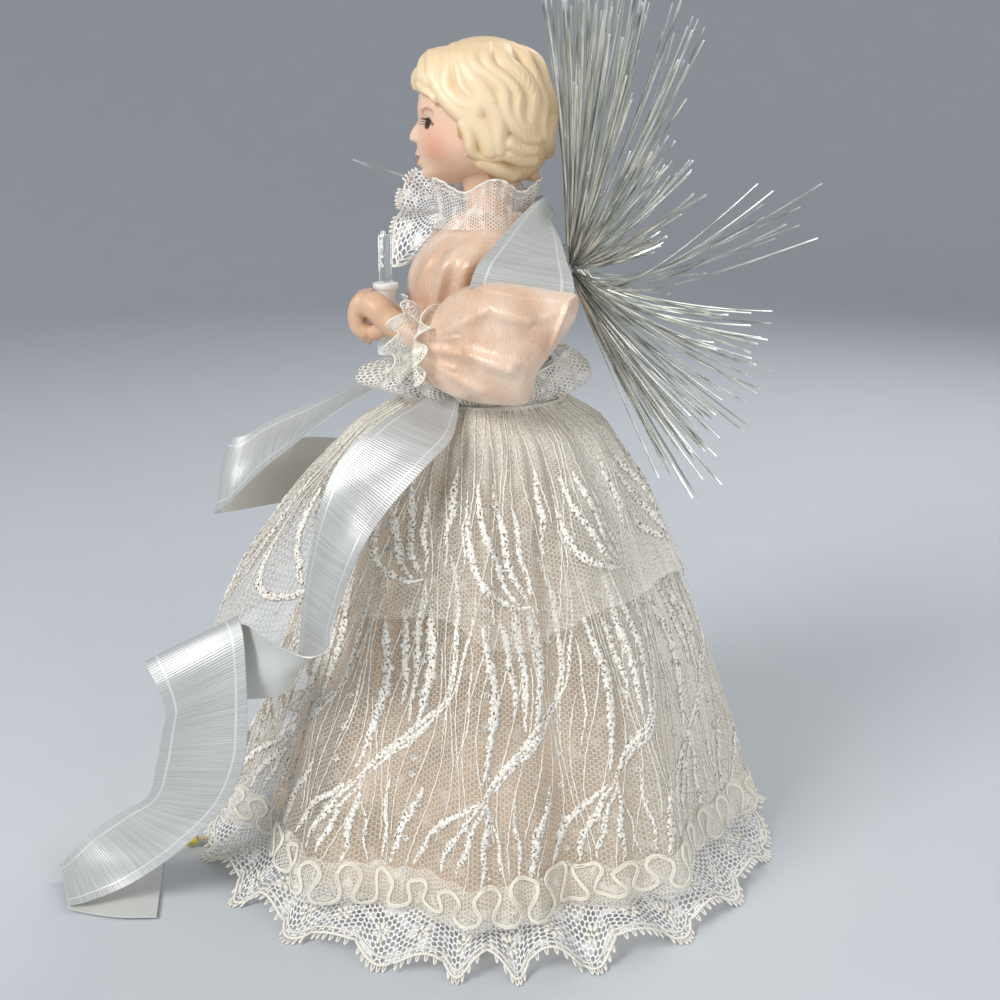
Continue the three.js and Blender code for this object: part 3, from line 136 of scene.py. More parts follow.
dress(film, "wheel_film", "color_wheel")

# Torso: a firm stuffed form on the cone's top that the bodice is stretched over.
# It is polyester wadding in a plain cotton cover, glued to the cone.
# Plain cotton: quite matt, with a soft nap
dress(clouded("cotton-covered wadding", "E9DFD0", "DACDBB", 0.9, 1.5, 0.2), "torso_stuffing", "torso_form")

# Strands: optical fibres that run up the body and burst from a boss behind the shoulders.
# They are drawn acrylic, glass clear and silvery, cut square so that their tips catch light.
MM = 0.001
STRAND_RADIUS = (0.24, 0.42)
STRAND_STEPS = 18
STRAND_SIDES = 5
HUB = np.array([0.0, 28.7, 213.0])
DOME_RADIUS = 6.5
draws = np.random.default_rng(11)


def show(name, points, faces, material, corner_uv=None, sharp=None):
    """A mesh object from points in millimetres and faces, shaded smooth except at edges above an angle."""
    mesh = bpy.data.meshes.new(name)
    mesh.from_pydata((np.asarray(points).reshape(-1, 3) * MM).tolist(), [], faces)
    if corner_uv is not None:
        layer = mesh.uv_layers.new(name="UVMap")
        layer.uv.foreach_set("vector", np.asarray(corner_uv, np.float32).ravel())
    mesh.shade_smooth()
    if sharp is not None:
        mesh.set_sharp_from_angle(angle=sharp)
    mesh.materials.append(material)
    made = bpy.data.objects.new(name, mesh)
    bpy.context.scene.collection.objects.link(made)
    return made


def loft(name, points, material, wrap=False, caps=False, uv=None, sharp=None):
    """A mesh over rows of points, indexed piece, row, column: wrap joins the last column to the first and
    caps closes each end. A wrapped mesh has one more column in uv, so its seam doesn't run backwards."""
    points = np.asarray(points, float)
    points = points if points.ndim == 4 else points[None]
    count, rows, columns = points.shape[:3]
    spans = columns if wrap else columns - 1
    piece, row, column = np.meshgrid(np.arange(count), np.arange(rows - 1), np.arange(spans), indexing="ij")
    first = (piece * rows + row) * columns
    after = (column + 1) % columns
    quads = np.stack([first + column, first + after, first + columns + after, first + columns + column], -1)
    faces = quads.reshape(-1, 4).tolist()
    ends = np.zeros((0, 2))
    if caps:
        starts = (np.arange(count) * rows * columns)[:, None]
        ring = np.arange(columns)
        faces += (starts + ring[::-1]).tolist() + (starts + (rows - 1) * columns + ring).tolist()
        ends = np.zeros((2 * count * columns, 2))
    corner_uv = None
    if uv is not None:
        uv = np.broadcast_to(uv if np.ndim(uv) == 4 else uv[None], (count, rows, spans + 1, 2))
        corners = np.stack([uv[:, :-1, :-1], uv[:, :-1, 1:], uv[:, 1:, 1:], uv[:, 1:, :-1]], 3)
        corner_uv = np.vstack([corners.reshape(-1, 2), ends])
    return show(name, points, faces, material, corner_uv, sharp)


def unit(vectors):
    """Vectors at length 1."""
    return vectors / np.maximum(np.linalg.norm(vectors, axis=-1, keepdims=True), 1e-9)


def tubes(paths, radii, sides, flat=1.0, up=None):
    """Round or flattened rings carried along paths indexed piece, step. Each ring's first direction is
    carried on from the ring before, or lies square to up, and flat is the height over the width."""
    paths = np.asarray(paths, float)
    ahead = unit(np.gradient(paths, axis=1))
    if up is None:
        least = np.eye(3)[np.abs(ahead[:, 0]).argmin(-1)]
        side = [unit(np.cross(ahead[:, 0], least))]
        for step in range(1, paths.shape[1]):
            along = np.sum(side[-1] * ahead[:, step], -1, keepdims=True)
            side.append(unit(side[-1] - along * ahead[:, step]))
        side = np.stack(side, 1)
    else:
        side = unit(np.cross(ahead, up))
    other = np.cross(ahead, side)
    turn = np.linspace(0, 2 * np.pi, sides, endpoint=False)
    ring = np.cos(turn)[:, None] * side[:, :, None] + flat * np.sin(turn)[:, None] * other[:, :, None]
    return paths[:, :, None] + np.broadcast_to(radii, paths.shape[:2])[:, :, None, None] * ring


def fit(piece, node=None, body="figure"):
    """Fixes a finished piece to its body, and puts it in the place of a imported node."""
    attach(piece, body)
    if node:
        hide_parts(node)


# Drawn acrylic: mirror-like lengths with painted reflections, silver, dark or straw by turns, and a painted
# white glint at the cut tip
acrylic, acrylic_tree, acrylic_sockets = start_material("drawn acrylic strand", "B4B6AC", 0.16, Metallic=0.6)
strand_map = add(acrylic_tree, "ShaderNodeUVMap").outputs[0]
strand_uv = add(acrylic_tree, "ShaderNodeSeparateXYZ", {0: strand_map})
# Each strand has its own place in the noise, and its painted reflection changes tone about five times along
# its length
stretched = {0: strand_map, 1: (90.0, 5.0, 0.0)}
lengths = add(acrylic_tree, "ShaderNodeVectorMath", stretched, operation="MULTIPLY").outputs[0]
gleam = add(acrylic_tree, "ShaderNodeTexNoise", {"Vector": lengths, "Scale": 1.0, "Detail": 2.0})
strand_painted_reflections = add(acrylic_tree, "ShaderNodeValToRGB", {"Fac": gleam.outputs[0]})
strand_painted_reflections.color_ramp.elements[0].position = 0.3
strand_painted_reflections.color_ramp.elements[0].color = linear("7F827C")
strand_painted_reflections.color_ramp.elements[1].position = 0.72
strand_painted_reflections.color_ramp.elements[1].color = linear("FFFCF2")
strand_painted_reflections.color_ramp.elements.new(0.5).color = linear("C9CBC2")
# Painted glint: the last twentieth of each strand turns white
strand_tip_glint_share = add(acrylic_tree, "ShaderNodeMapRange", {0: strand_uv.outputs["Y"], 1: 0.95, 2: 1.0})
tip_glint_mix = {0: strand_tip_glint_share.outputs[0], 6: strand_painted_reflections.outputs[0], 7: linear("F4F8F8")}
tip_glint_color = add(acrylic_tree, "ShaderNodeMix", tip_glint_mix, data_type="RGBA").outputs[2]
acrylic_tree.links.new(tip_glint_color, acrylic_sockets["Base Color"])

# Groups of strands on each side: how many, lean from straight back, turn from sideways to upright, length,
# how far the end is bent up and back, and how far the strand sags near its root; degrees and millimetres
UPPER_GROUPS = [
    (22, (80, 93), (66, 90), (80, 100), (-2, 3), (-7, 3), (0, 0)),
    (9, (70, 82), (64, 90), (60, 98), (2, 8), (-8, -2), (0, 2)),
    (5, (60, 72), (68, 88), (70, 94), (4, 9), (-8, -4), (0, 2)),
    (3, (50, 62), (60, 86), (66, 92), (6, 14), (-12, -6), (0, 2)),
    (13, (28, 60), (50, 88), (32, 52), (4, 10), (-4, 0), (0, 2)),
    (8, (4, 18), (20, 88), (26, 32), (2, 7), (-3, -1), (0, 1)),
    (5, (2, 18), (40, 88), (62, 86), (4, 12), (-2, 2), (4, 12)),
    (12, (66, 90), (8, 58), (70, 96), (0, 8), (-6, 4), (0, 2)),
]
FORWARD_GROUP = (3, (82, 88), (9, 15), (84, 92), (10, 16), (-92, -78), (0, 0))
LOWER_GROUPS = [
    (10, (22, 48), (60, 88), (58, 78), (6, 12), (0, 6), (1, 4)),
    (8, (46, 58), (58, 90), (66, 92), (4, 9), (-2, 6), (0, 2)),
    (18, (56, 68), (58, 90), (70, 98), (2, 7), (-2, 6), (0, 2)),
    (8, (44, 64), (10, 55), (60, 86), (2, 9), (-4, 4), (0, 2)),
]


def strand_spray(name, side_x, side_z, groups):
    """Strands from one quarter of the boss: each leaves at a lean from straight back and a turn from
    sideways, runs its length, bends by the square of the share of its length, and sags near its root."""
    rows = np.repeat([np.hstack(group) for group in groups], [group[0] for group in groups], 0)
    drawn = (draws.uniform(rows[:, i], rows[:, i + 1]) for i in (1, 3, 5, 7, 9, 11))
    lean, turn, length, up, back, sag = drawn
    lean, turn = np.radians(lean), np.radians(turn)
    aside = np.sin(lean)
    out = np.stack([side_x * aside * np.cos(turn), np.cos(lean), side_z * aside * np.sin(turn)], -1)
    share = np.linspace(0, 1, STRAND_STEPS)[None, :, None]
    bend = np.stack([draws.uniform(-4, 4, len(rows)), back, up], -1)
    root = HUB + out * DOME_RADIUS * draws.uniform(0.35, 0.9, len(rows))[:, None]
    paths = root[:, None] + out[:, None] * length[:, None, None] * share + bend[:, None] * share**2
    paths[..., 2] -= sag[:, None] * np.sin(np.pi * share[..., 0] ** 0.48)
    shape = (len(rows), STRAND_STEPS, STRAND_SIDES + 1)
    tint = np.broadcast_to(draws.random(len(rows))[:, None, None], shape)
    radii = draws.uniform(*STRAND_RADIUS, len(rows))[:, None]
    uv = np.stack([tint, np.broadcast_to(share, shape)], -1)
    spray = loft(name, tubes(paths, radii, STRAND_SIDES), acrylic, wrap=True, caps=True, uv=uv, sharp=0.9)
    fit(spray, name.replace("strands", "fibre_spray"))


strand_spray("strands_upper_left", 1, 1, UPPER_GROUPS)
strand_spray("strands_upper_right", -1, 1, [*UPPER_GROUPS, FORWARD_GROUP])
strand_spray("strands_lower_left", 1, -1, LOWER_GROUPS)
strand_spray("strands_lower_right", -1, -1, LOWER_GROUPS)
# Strands side by side: silver, streaked with painted shade for the dark gaps between them
fibre_bundle = clouded("bundled acrylic strands", "B9BBB2", "8E9089", 0.2, 0.8, 0.2, Metallic=0.4)
dress(fibre_bundle, "fibre", "fibre_trunk", "fibre_hub")

# Bodice: a close satin top drawn over the torso and caught in folds under the arms.
# It is woven polyester satin, cut in one strip, joined at the back and glued down at the waist.
BODICE_FROM, BODICE_TO = 169.3, 232.0
BODICE_ROWS, BODICE_COLUMNS = 60, 160
BODICE_OFF_TORSO = 1.2
SATIN_THICKNESS = 0.35
# The torso's height, half width, half depth and how far back its middle lies, from the waist up
TORSO_SECTIONS = np.array(
    [
        [168.3, 23.5, 23.0, 0.0],
        [180.0, 21.5, 21.0, -0.5],
        [195.0, 23.0, 23.0, -1.5],
        [208.0, 25.0, 24.5, -2.0],
        [217.0, 24.0, 22.5, -1.0],
        [223.0, 20.0, 18.5, 0.0],
        [228.0, 14.0, 13.5, 1.0],
        [232.0, 11.0, 11.0, 1.0],
    ]
)
# Folds in the bodice: middle angle, slant from waist to neck, half width and height
BODICE_FOLDS = [
    (-0.30, 0.5, 0.10, 2.0),
    (-0.62, 0.7, 0.09, 2.6),
    (-0.95, 0.6, 0.10, 1.6),
    (-1.35, 0.2, 0.16, 0.8),
    (-1.90, -0.3, 0.14, 0.9),
    (-2.45, -0.7, 0.09, 2.6),
    (-2.85, -0.5, 0.10, 2.0),
    (0.75, -0.4, 0.15, 0.9),
    (1.57, 0.1, 0.18, 0.7),
    (2.40, 0.4, 0.15, 0.9),
]
FRONT = -np.pi / 2


def solidify(obj, thickness_mm):
    """Gives a sheet its thickness, half of it on each side."""
    shell = obj.modifiers.new("thickness", "SOLIDIFY")
    shell.thickness = thickness_mm * MM
    shell.offset = 0.0


def away(angle, middle):
    """How far an angle is from a middle one, the short way round."""
    return np.arctan2(np.sin(angle - middle), np.cos(angle - middle))


def spline(stations, steps):
    """A smooth curve through stations (Catmull-Rom), at even steps of station number."""
    known = np.asarray(stations, float)
    padded = np.vstack([2 * known[0] - known[1], known, 2 * known[-1] - known[-2]])
    at = np.linspace(0, len(known) - 1, steps)
    low = np.minimum(at.astype(int), len(known) - 2)
    t = (at - low)[:, None]
    a, b, c, d = (padded[low + k] for k in range(4))
    return 0.5 * (2 * b + (c - a) * t + (2 * a - 5 * b + 4 * c - d) * t**2 + (3 * b - a - 3 * c + d) * t**3)


def smooth(low, high, value):
    """0 below low, 1 above high, and an S-curve between them."""
    t = np.clip((value - low) / (high - low), 0, 1)
    return t * t * (3 - 2 * t)


TORSO_LINE = spline(TORSO_SECTIONS, 141)


def torso_point(angle, height, gap):
    """A point a gap off the torso: an ellipse at each height, its sizes on curves through the sections."""
    half_x, half_y, middle = (np.interp(height, TORSO_LINE[:, 0], TORSO_LINE[:, i]) for i in (1, 2, 3))
    sides = [(half_x + gap) * np.cos(angle), middle + (half_y + gap) * np.sin(angle), height]
    return np.stack(np.broadcast_arrays(*sides), -1)


def satin_material(name, light, dark):
    """Woven satin: a broad white gloss over the cloth's own colour, fine upright threads, and slow patches
    where it was pressed, in low relief and in painted sheen and painted shade."""
    material, tree, sockets = start_material(name, light, 0.5, Metallic=0.1, Sheen_Weight=0.4)
    sockets["Coat Weight"].default_value = 0.7
    sockets["Coat Roughness"].default_value = 0.3
    place = add(tree, "ShaderNodeTexCoord").outputs["Object"]
    slow = add(tree, "ShaderNodeTexNoise", {"Vector": place, "Scale": 1000 / 16, "Detail": 2.5})
    # Threads 0.2 mm apart are too fine to show, so they are drawn 0.6 mm apart and 2 mm long
    upright = add(tree, "ShaderNodeVectorMath", {0: place, 1: (1.0, 1.0, 0.3)}, operation="MULTIPLY")
    woven = {"Vector": upright.outputs[0], "Scale": 1000 / 0.6, "Detail": 1.0}
    weave = add(tree, "ShaderNodeTexNoise", woven)
    # Painted sheen and painted shade: the slow noise lightens and darkens the colour in patches
    tone = add(tree, "ShaderNodeMapRange", {0: slow.outputs[0], 1: 0.3, 2: 0.7, 3: -0.35, 4: 0.65})
    threads = {0: weave.outputs[0], 1: 0.7, 2: tone.outputs[0]}
    threads = add(tree, "ShaderNodeMath", threads, operation="MULTIPLY_ADD").outputs[0]
    both = {0: threads, 6: linear(dark), 7: linear(light)}
    tree.links.new(add(tree, "ShaderNodeMix", both, data_type="RGBA").outputs[2], sockets["Base Color"])
    fine = add(tree, "ShaderNodeBump", {"Height": weave.outputs[0], "Distance": 0.00025, "Strength": 0.7})
    press = {"Height": slow.outputs[0], "Distance": 0.005, "Strength": 0.35, "Normal": fine.outputs[0]}
    pressed = add(tree, "ShaderNodeBump", press).outputs["Normal"]
    tree.links.new(pressed, sockets["Normal"])
    tree.links.new(pressed, sockets["Coat Normal"])
    return material


# Peach satin: the light colour is a painted sheen and the dark one a painted shade, mixed in slow patches
# with the thread grain
satin = satin_material("peach polyester satin", "F0D6BF", "D2A786")


def bodice_points(angle, height):
    """The torso's skin, pushed out at the shoulders and by folds from the armpits to the waist and across."""
    rise = (height - BODICE_FROM) / (BODICE_TO - BODICE_FROM)
    fold = np.zeros_like(angle)
    for middle, slant, width, depth in BODICE_FOLDS:
        fold += depth * np.exp(-((away(angle, middle + slant * (rise - 0.5)) / width) ** 2))
    fold *= np.clip(4 * rise, 0, 1) * np.clip(4 * (1 - rise), 0, 1)
    shoulder = 5.5 * np.exp(-(((height - 217) / 6.5) ** 2)) * np.abs(np.cos(angle)) ** 3
    return torso_point(angle, height, BODICE_OFF_TORSO + fold + shoulder)


bodice_turn = np.linspace(0, 2 * np.pi, BODICE_COLUMNS, endpoint=False)
bodice_angle, bodice_height = np.meshgrid(bodice_turn, np.linspace(BODICE_FROM, BODICE_TO, BODICE_ROWS))
bodice = loft("satin_bodice", bodice_points(bodice_angle, bodice_height), satin, wrap=True)
solidify(bodice, SATIN_THICKNESS)
fit(bodice, "bodice")

# Head: a hollow bisque head, cast in a mould with its hair, then painted and fired.
# Unglazed skin with tinted cheeks, lips and eyes, and moulded pale blond curls with a soft sheen.
HEAD_MIDDLE = np.array([0.0, -1.0, 265.5])
HEAD_HALF = np.array([20.6, 22.6, 23.6])
HEAD_COLUMNS, HEAD_ROWS = 300, 210
HEAD_LOWEST_TILT, HEAD_HIGHEST_TILT = -1.45, 1.52
HAIR_LIFT = 0.7
LOCK_WIDTH, LOCK_HEIGHT = 3.3, 2.3
EYE_TURN, EYE_HEIGHT = 0.55, 261.4
# Hairline at the side of the face: height, and how far forward the hair comes
HAIRLINE = np.array(
    [
        [240.0, 3.0],
        [247.0, -1.7],
        [250.0, -4.1],
        [251.2, -7.2],
        [254.0, -4.6],
        [257.6, -9.6],
        [262.5, -9.8],
        [266.5, -12.6],
        [269.8, -14.7],
        [271.8, -19.5],
        [274.5, -30.0],
    ]
)
# Moulded locks: forward or back place and height of points along each, on both sides of the head
LOCKS = [
    [(-15.8, 287), (-15.6, 279.8), (-14.7, 272.8), (-11.9, 267.5), (-8, 264.4), (-4.8, 264.8), (-3.3, 266.9)],
    [(-13, 284), (-13.1, 276.2), (-11.5, 271.3), (-8.3, 267.8), (-4.2, 266.3)],
    [(-10.2, 286), (-9.9, 278.8), (-8.3, 274.3), (-5.6, 271.2), (-3.6, 269.6)],
    [(-7.2, 286.5), (-7, 279.6), (-4.8, 275), (-1.6, 271.6), (1.5, 268.2)],
    [
        (-4.4, 286), (-3.2, 278.8), (0.7, 275.4), (4.3, 271.6),
        (6.3, 266.7), (8.3, 261.8), (11.5, 258), (14.4, 257.6),
    ],
    [(-0.9, 286), (1.5, 278.8), (5.5, 275), (8.6, 270.5), (9.8, 266), (11.5, 261.8), (14, 260)],
    [(3.1, 286.4), (6.3, 280.4), (10.6, 277), (13.4, 272.8), (13.9, 267.5), (14.3, 262.5)],
    [(7.9, 286.4), (11.9, 281.3), (15.5, 276.3), (17.1, 270.6), (17.2, 264.5), (18.2, 258.3)],
    [(12.4, 285), (16.8, 279.1), (19.7, 273), (20.6, 266.8), (20.3, 259.8), (20.4, 253.4)],
    [(-2.8, 268.6), (0.7, 266.7), (2.3, 262.9), (3.5, 258.7), (4.3, 254.1)],
    [(-8, 261.8), (-5.6, 257.6), (-3.3, 252.9), (0.3, 251.4), (4.4, 252.1)],
    [(-4.6, 262.4), (-1.8, 259.5), (0.3, 256), (1.4, 253.8)],
    [(5.9, 256), (9.6, 254.1), (13.7, 253.9)],
    [(5.6, 252.7), (9.6, 251.2), (13.7, 251.0)],
    [(-1.7, 249.6), (3.2, 248.4), (8.1, 246.9)],
    [(10.5, 248.4), (14, 246.3), (17, 243.8)],
    [(-18, 285.6), (-19.9, 281.4), (-19.4, 276.6), (-17.2, 274)],
    [(-16.9, 284), (-17.4, 279.1), (-16.4, 274.6)],
    [(-20.4, 272.9), (-18.2, 271.2), (-16, 269.4)],
]


def bare_head(turn, tilt):
    """A superellipsoid, fuller below: turn goes round from the face, and tilt up from chin to crown."""
    power = np.where(tilt < 0, 0.64, 0.94)
    level = np.cos(tilt) ** power
    rise = np.sign(tilt) * np.abs(np.sin(tilt)) ** power
    shape = np.stack([level * np.sin(turn), -level * np.cos(turn), rise], -1)
    return HEAD_MIDDLE + HEAD_HALF * shape


def lock_relief(points):
    """How far the locks stand out: the highest of all round-backed ridges along the locks' curves."""
    mirrored = points.copy()
    mirrored[:, 0] = np.abs(mirrored[:, 0])
    relief = np.zeros(len(points))
    for number, lock in enumerate(LOCKS):
        line = spline(lock, 70)
        line[:, 0] += 0.8 * np.sin(line[:, 1] / 2.6 + 0.8 * number)
        width = LOCK_WIDTH * (1 + 0.22 * np.sin(2.4 * number))
        rest = 1 - ((line[:, 0] - HEAD_MIDDLE[1]) / HEAD_HALF[1]) ** 2
        rest -= (np.abs(line[:, 1] - HEAD_MIDDLE[2]) / HEAD_HALF[2]) ** 2.3
        middle = np.stack([HEAD_HALF[0] * np.sqrt(np.maximum(rest, 0)), line[:, 0], line[:, 1]], -1)
        gap = np.linalg.norm(mirrored[:, None] - middle[None], axis=-1).min(1)
        relief = np.maximum(relief, LOCK_HEIGHT * np.maximum(1 - (gap / width) ** 2, 0))
    return relief * (1 - 0.8 * smooth(281, 288, points[:, 2]))


def pair(points, x, z, wide, high):
    """A soft spot on each side of the face."""
    return np.exp(-(((np.abs(points[:, 0]) - x) / wide) ** 2) - (((points[:, 2] - z) / high) ** 2))


head_t, head_tilt = np.meshgrid(
    np.linspace(-np.pi, np.pi, HEAD_COLUMNS, endpoint=False),
    np.linspace(HEAD_LOWEST_TILT, HEAD_HIGHEST_TILT, HEAD_ROWS),
)
# Columns lie closer together at the face
head_turn = head_t - 0.4 * np.sin(head_t)
head_bare = bare_head(head_turn, head_tilt).reshape(-1, 3)
head_out = unit((head_bare - HEAD_MIDDLE) / HEAD_HALF**2)
facing = smooth(3, 12, -(head_bare[:, 1] - HEAD_MIDDLE[1]))
x, y, z = head_bare.T
# Relief of the face in millimetres, feature by feature
nose = 3.0 * np.exp(-((x / (1.6 + 0.14 * (264 - z).clip(0, 9))) ** 2))
nose *= smooth(263.0, 258.4, z) * smooth(255.0, 257.6, z)
nostril = 0.8 * pair(head_bare, 2.1, 257.3, 1.3, 1.2)
mouth = 1.1 * pair(head_bare, 0, 252.5, 3.2, 0.8) + 1.2 * pair(head_bare, 0, 250.3, 2.7, 0.9)
mouth -= 0.7 * pair(head_bare, 0, 248.3, 4, 1.0) + 0.5 * pair(head_bare, 0, 251.45, 3.8, 0.3)
chin = 3.6 * pair(head_bare, 0, 246.5, 6.0, 3.6) + 1.5 * pair(head_bare, 0, 252.5, 6.5, 4.0)
cheek = 1.0 * pair(head_bare, 11, 253.0, 6, 5.0)
socket = 1.4 * pair(head_bare, 8.6, 262.0, 4.6, 2.6) - 0.9 * pair(head_bare, 10.2, 261.2, 2.6, 1.7)
brow = 0.5 * pair(head_bare, 8, 266.5, 6, 1.6)
face = facing * (nose + nostril + mouth + chin + cheek - socket + brow)
# The cheeks draw in towards the jaw
narrow = -2.2 * smooth(256, 243, z) * np.abs(np.sin(head_turn.ravel())) * smooth(-6, 4, -y)
# Moulded hair: locks, a row of curls over the forehead, combed grooves behind and a fuller fringe
hair_edge = y - np.interp(z, HAIRLINE[:, 0], HAIRLINE[:, 1])
relief = lock_relief(head_bare)
curl_line = 275.4 + 1.1 * np.cos(2 * np.pi * x / 6.5)
curls = 2.1 * np.exp(-(((z - curl_line) / 3.6) ** 2)) * smooth(-12, -17, y)
relief = np.maximum(relief, curls)
hair = np.maximum(smooth(-0.3, 0.5, hair_edge), smooth(0.15, 0.6, relief) * smooth(-4, -2.5, hair_edge))
combed = 0.16 * np.cos(2 * np.pi * (head_turn.ravel() * 21 + 1.4 * np.sin(z / 3.2)) / 1.7)
combed *= smooth(4, 12, y) * smooth(283, 276, z)
fringe = 1.4 * smooth(-13, -18, y) * smooth(270, 276, z) * smooth(288, 282, z)
lift = hair * (HAIR_LIFT + relief + combed + fringe)
head_points = head_bare + head_out * (face * (1 - hair) + narrow + lift)[:, None]
crown = np.array([[0.0, -1.0, head_points[:, 2].max() + 0.05]])
under = np.array([[0.0, -1.0, head_points[:, 2].min()]])

SKIN, BLUSH, LIPS = (np.array(linear(code)[:3]) for code in ("E9C4A9", "D8977A", "A9705E"))
# Hair colours: a painted shade for the grooves, a mid blond, and a painted highlight for the tops of the
# locks
HAIR_GROOVE_SHADE, HAIR_MID, HAIR_LOCK_HIGHLIGHT = (np.array(linear(code)[:3]) for code in ("C29A6A", "E6CBA2", "F2DDBA"))
EYE_WHITE, IRIS, LASH = (np.array(linear(code)[:3]) for code in ("E9DDD2", "5B3622", "2A1B16"))
BROW = np.array(linear("9C7658")[:3])


def paint_over(base, color, share):
    """Lays a colour over another by a share for each point."""
    return base + (color - base) * np.clip(share, 0, 1)[:, None]


def head_paint():
    """The fired paint: skin, blushed cheeks, lips, eyes with lashes and brows, and hair with painted shade in
    its grooves and painted highlight on its locks.
    """
    sideways = (np.abs(head_turn.ravel()) - EYE_TURN) * 20
    upright = z - EYE_HEIGHT
    lid = 1.75 * (1 - (sideways / 2.9) ** 2)
    paint = np.broadcast_to(SKIN, head_points.shape)
    warm = np.exp(-((np.abs(x) - 13.2) ** 2 + (z - 254.2) ** 2 * 0.8 + (y + 17) ** 2 * 0.4) / 26)
    paint = paint_over(paint, BLUSH, 0.8 * warm * facing)
    bow = 1.7 * (1 - (x / 3.9) ** 2)
    paint = paint_over(paint, LIPS, 0.9 * smooth(-0.2, 0.5, bow - np.abs(z - 251.4)) * facing)
    opening = smooth(-0.1, 0.35, lid - np.abs(upright)) * facing
    paint = paint_over(paint, EYE_WHITE, opening)
    paint = paint_over(paint, IRIS, opening * smooth(2.2, 1.8, np.hypot(sideways, upright)))
    paint = paint_over(paint, LASH, opening * smooth(0.95, 0.6, np.hypot(sideways, upright)))
    rim = smooth(0.65, 0.25, np.abs(upright - np.maximum(lid, -0.1))) * smooth(3.8, 3.2, np.abs(sideways))
    paint = paint_over(paint, LASH, 0.95 * rim * facing)
    arch = upright - 5.0 + 0.11 * (sideways - 0.5) ** 2
    stroke = smooth(0.75, 0.2, np.abs(arch)) * smooth(4.2, 3, np.abs(sideways))
    paint = paint_over(paint, BROW, 0.7 * stroke * facing)
    # Painted shade in the hair's grooves and combed lines, painted highlight on the tops of the locks
    tone = np.clip((relief + combed * 2) / LOCK_HEIGHT, 0, 1)
    blond = paint_over(np.broadcast_to(HAIR_GROOVE_SHADE, paint.shape), HAIR_MID, smooth(0, 0.55, tone))
    blond = paint_over(blond, HAIR_LOCK_HIGHLIGHT, 0.6 * smooth(0.6, 1, tone))
    smooth_crown = np.maximum(smooth(276, 284, z), smooth(6, 12, y) * 0.8)
    blond = paint_over(blond, HAIR_MID, 0.85 * smooth_crown)
    return paint_over(paint, blond, hair)


# Painted bisque: a soft, unglazed gloss, and a little light let through at thin edges
bisque, bisque_tree, bisque_sockets = start_material(
    "painted bisque", "E6C3A8", 0.42, Subsurface_Weight=0.08, Subsurface_Radius=(0.004, 0.002, 0.0015)
)
painted = add(bisque_tree, "ShaderNodeAttribute", attribute_name="paint")
bisque_tree.links.new(painted.outputs["Color"], bisque_sockets["Base Color"])
# Fired clay grit of about 0.3 mm
grit_place = add(bisque_tree, "ShaderNodeTexCoord").outputs["Object"]
grit = add(bisque_tree, "ShaderNodeTexNoise", {"Vector": grit_place, "Scale": 1000 / 0.3, "Detail": 2.0})
grit_relief = {"Height": grit.outputs[0], "Distance": 0.00002, "Strength": 0.4}
grit_bump = add(bisque_tree, "ShaderNodeBump", grit_relief)
bisque_tree.links.new(grit_bump.outputs["Normal"], bisque_sockets["Normal"])


def paint_points(obj, colors):
    """Keeps a linear colour on each point of a mesh, for its painted material."""
    layer = obj.data.color_attributes.new("paint", "FLOAT_COLOR", "POINT")
    full = np.ones((len(obj.data.vertices), 4), np.float32)
    full[:, :3] = colors
    layer.data.foreach_set("color", full.ravel())


def capped_faces(rows, columns):
    """Quads over a grid that wraps round, with a fan of triangles to a point at each end."""
    row, column = np.meshgrid(np.arange(rows - 1), np.arange(columns), indexing="ij")
    after = (column + 1) % columns
    quads = np.stack([row * columns + column, row * columns + after], -1)
    quads = np.concatenate([quads, quads[..., ::-1] + columns], -1).reshape(-1, 4).tolist()
    ring = np.arange(columns)
    ahead = (ring + 1) % columns
    low, top = rows * columns, (rows - 1) * columns
    fans = np.stack([np.full(columns, low), ahead, ring], -1).tolist()
    return quads + fans + np.stack([np.full(columns, low + 1), top + ring, top + ahead], -1).tolist()


head = show(
    "painted_head", np.vstack([head_points, under, crown]), capped_faces(HEAD_ROWS, HEAD_COLUMNS), bisque
)
paint_points(head, np.vstack([head_paint(), SKIN, HAIR_MID]))
fit(head, "head")

# Lashes: a fringe of short dark hairs along each upper lid.
# Cut fibre, curled up and glued on after the head is fired.
LASHES, LASH_LENGTH, LASH_ROOT = 9, 2.4, 0.4
lash_share = np.linspace(-1, 1, LASHES)
lash_turn = np.concatenate([EYE_TURN + 0.14 * lash_share, -EYE_TURN - 0.14 * lash_share])
lash_height = np.tile(EYE_HEIGHT + 1.75 * (1 - lash_share**2), 2)
lash_tilt = -np.arcsin(((HEAD_MIDDLE[2] - lash_height) / HEAD_HALF[2]) ** (1 / 0.64))
lash_root = bare_head(lash_turn, lash_tilt)
lash_out = unit((lash_root - HEAD_MIDDLE) / HEAD_HALF**2)
lash_step = np.linspace(0, 1, 5)[None, :, None]
lash_paths = lash_root[:, None] + lash_out[:, None] * (LASH_LENGTH * lash_step - LASH_ROOT)
lash_paths[..., 2] += 0.7 * lash_step[..., 0] ** 2
# Dyed fibre: brown that is nearly black, and dull
lash_hair = clouded("dark lash hair", "2A1B16", "1E130F", 0.6, 0.5, 0.01)
lashes = loft("lashes", tubes(lash_paths, np.linspace(0.16, 0.05, 5), 4), lash_hair, wrap=True, caps=True)
fit(lashes)

# Neck: a plain tapered stem below the head, of the same bisque casting.
# Painted skin colour, glued into the torso's top and half hidden by the collar.
NECK_STATIONS = [[8.6, 224.0], [8.2, 232.0], [8.6, 238.0], [10.5, 243.5], [13.0, 248.0]]
NECK_ROWS, NECK_COLUMNS = 20, 64
NECK_BACK = 1.0


def round_z(radius, angle, height):
    """A point at a radius and angle round the upright middle line."""
    return np.stack(np.broadcast_arrays(radius * np.cos(angle), radius * np.sin(angle), height), -1)


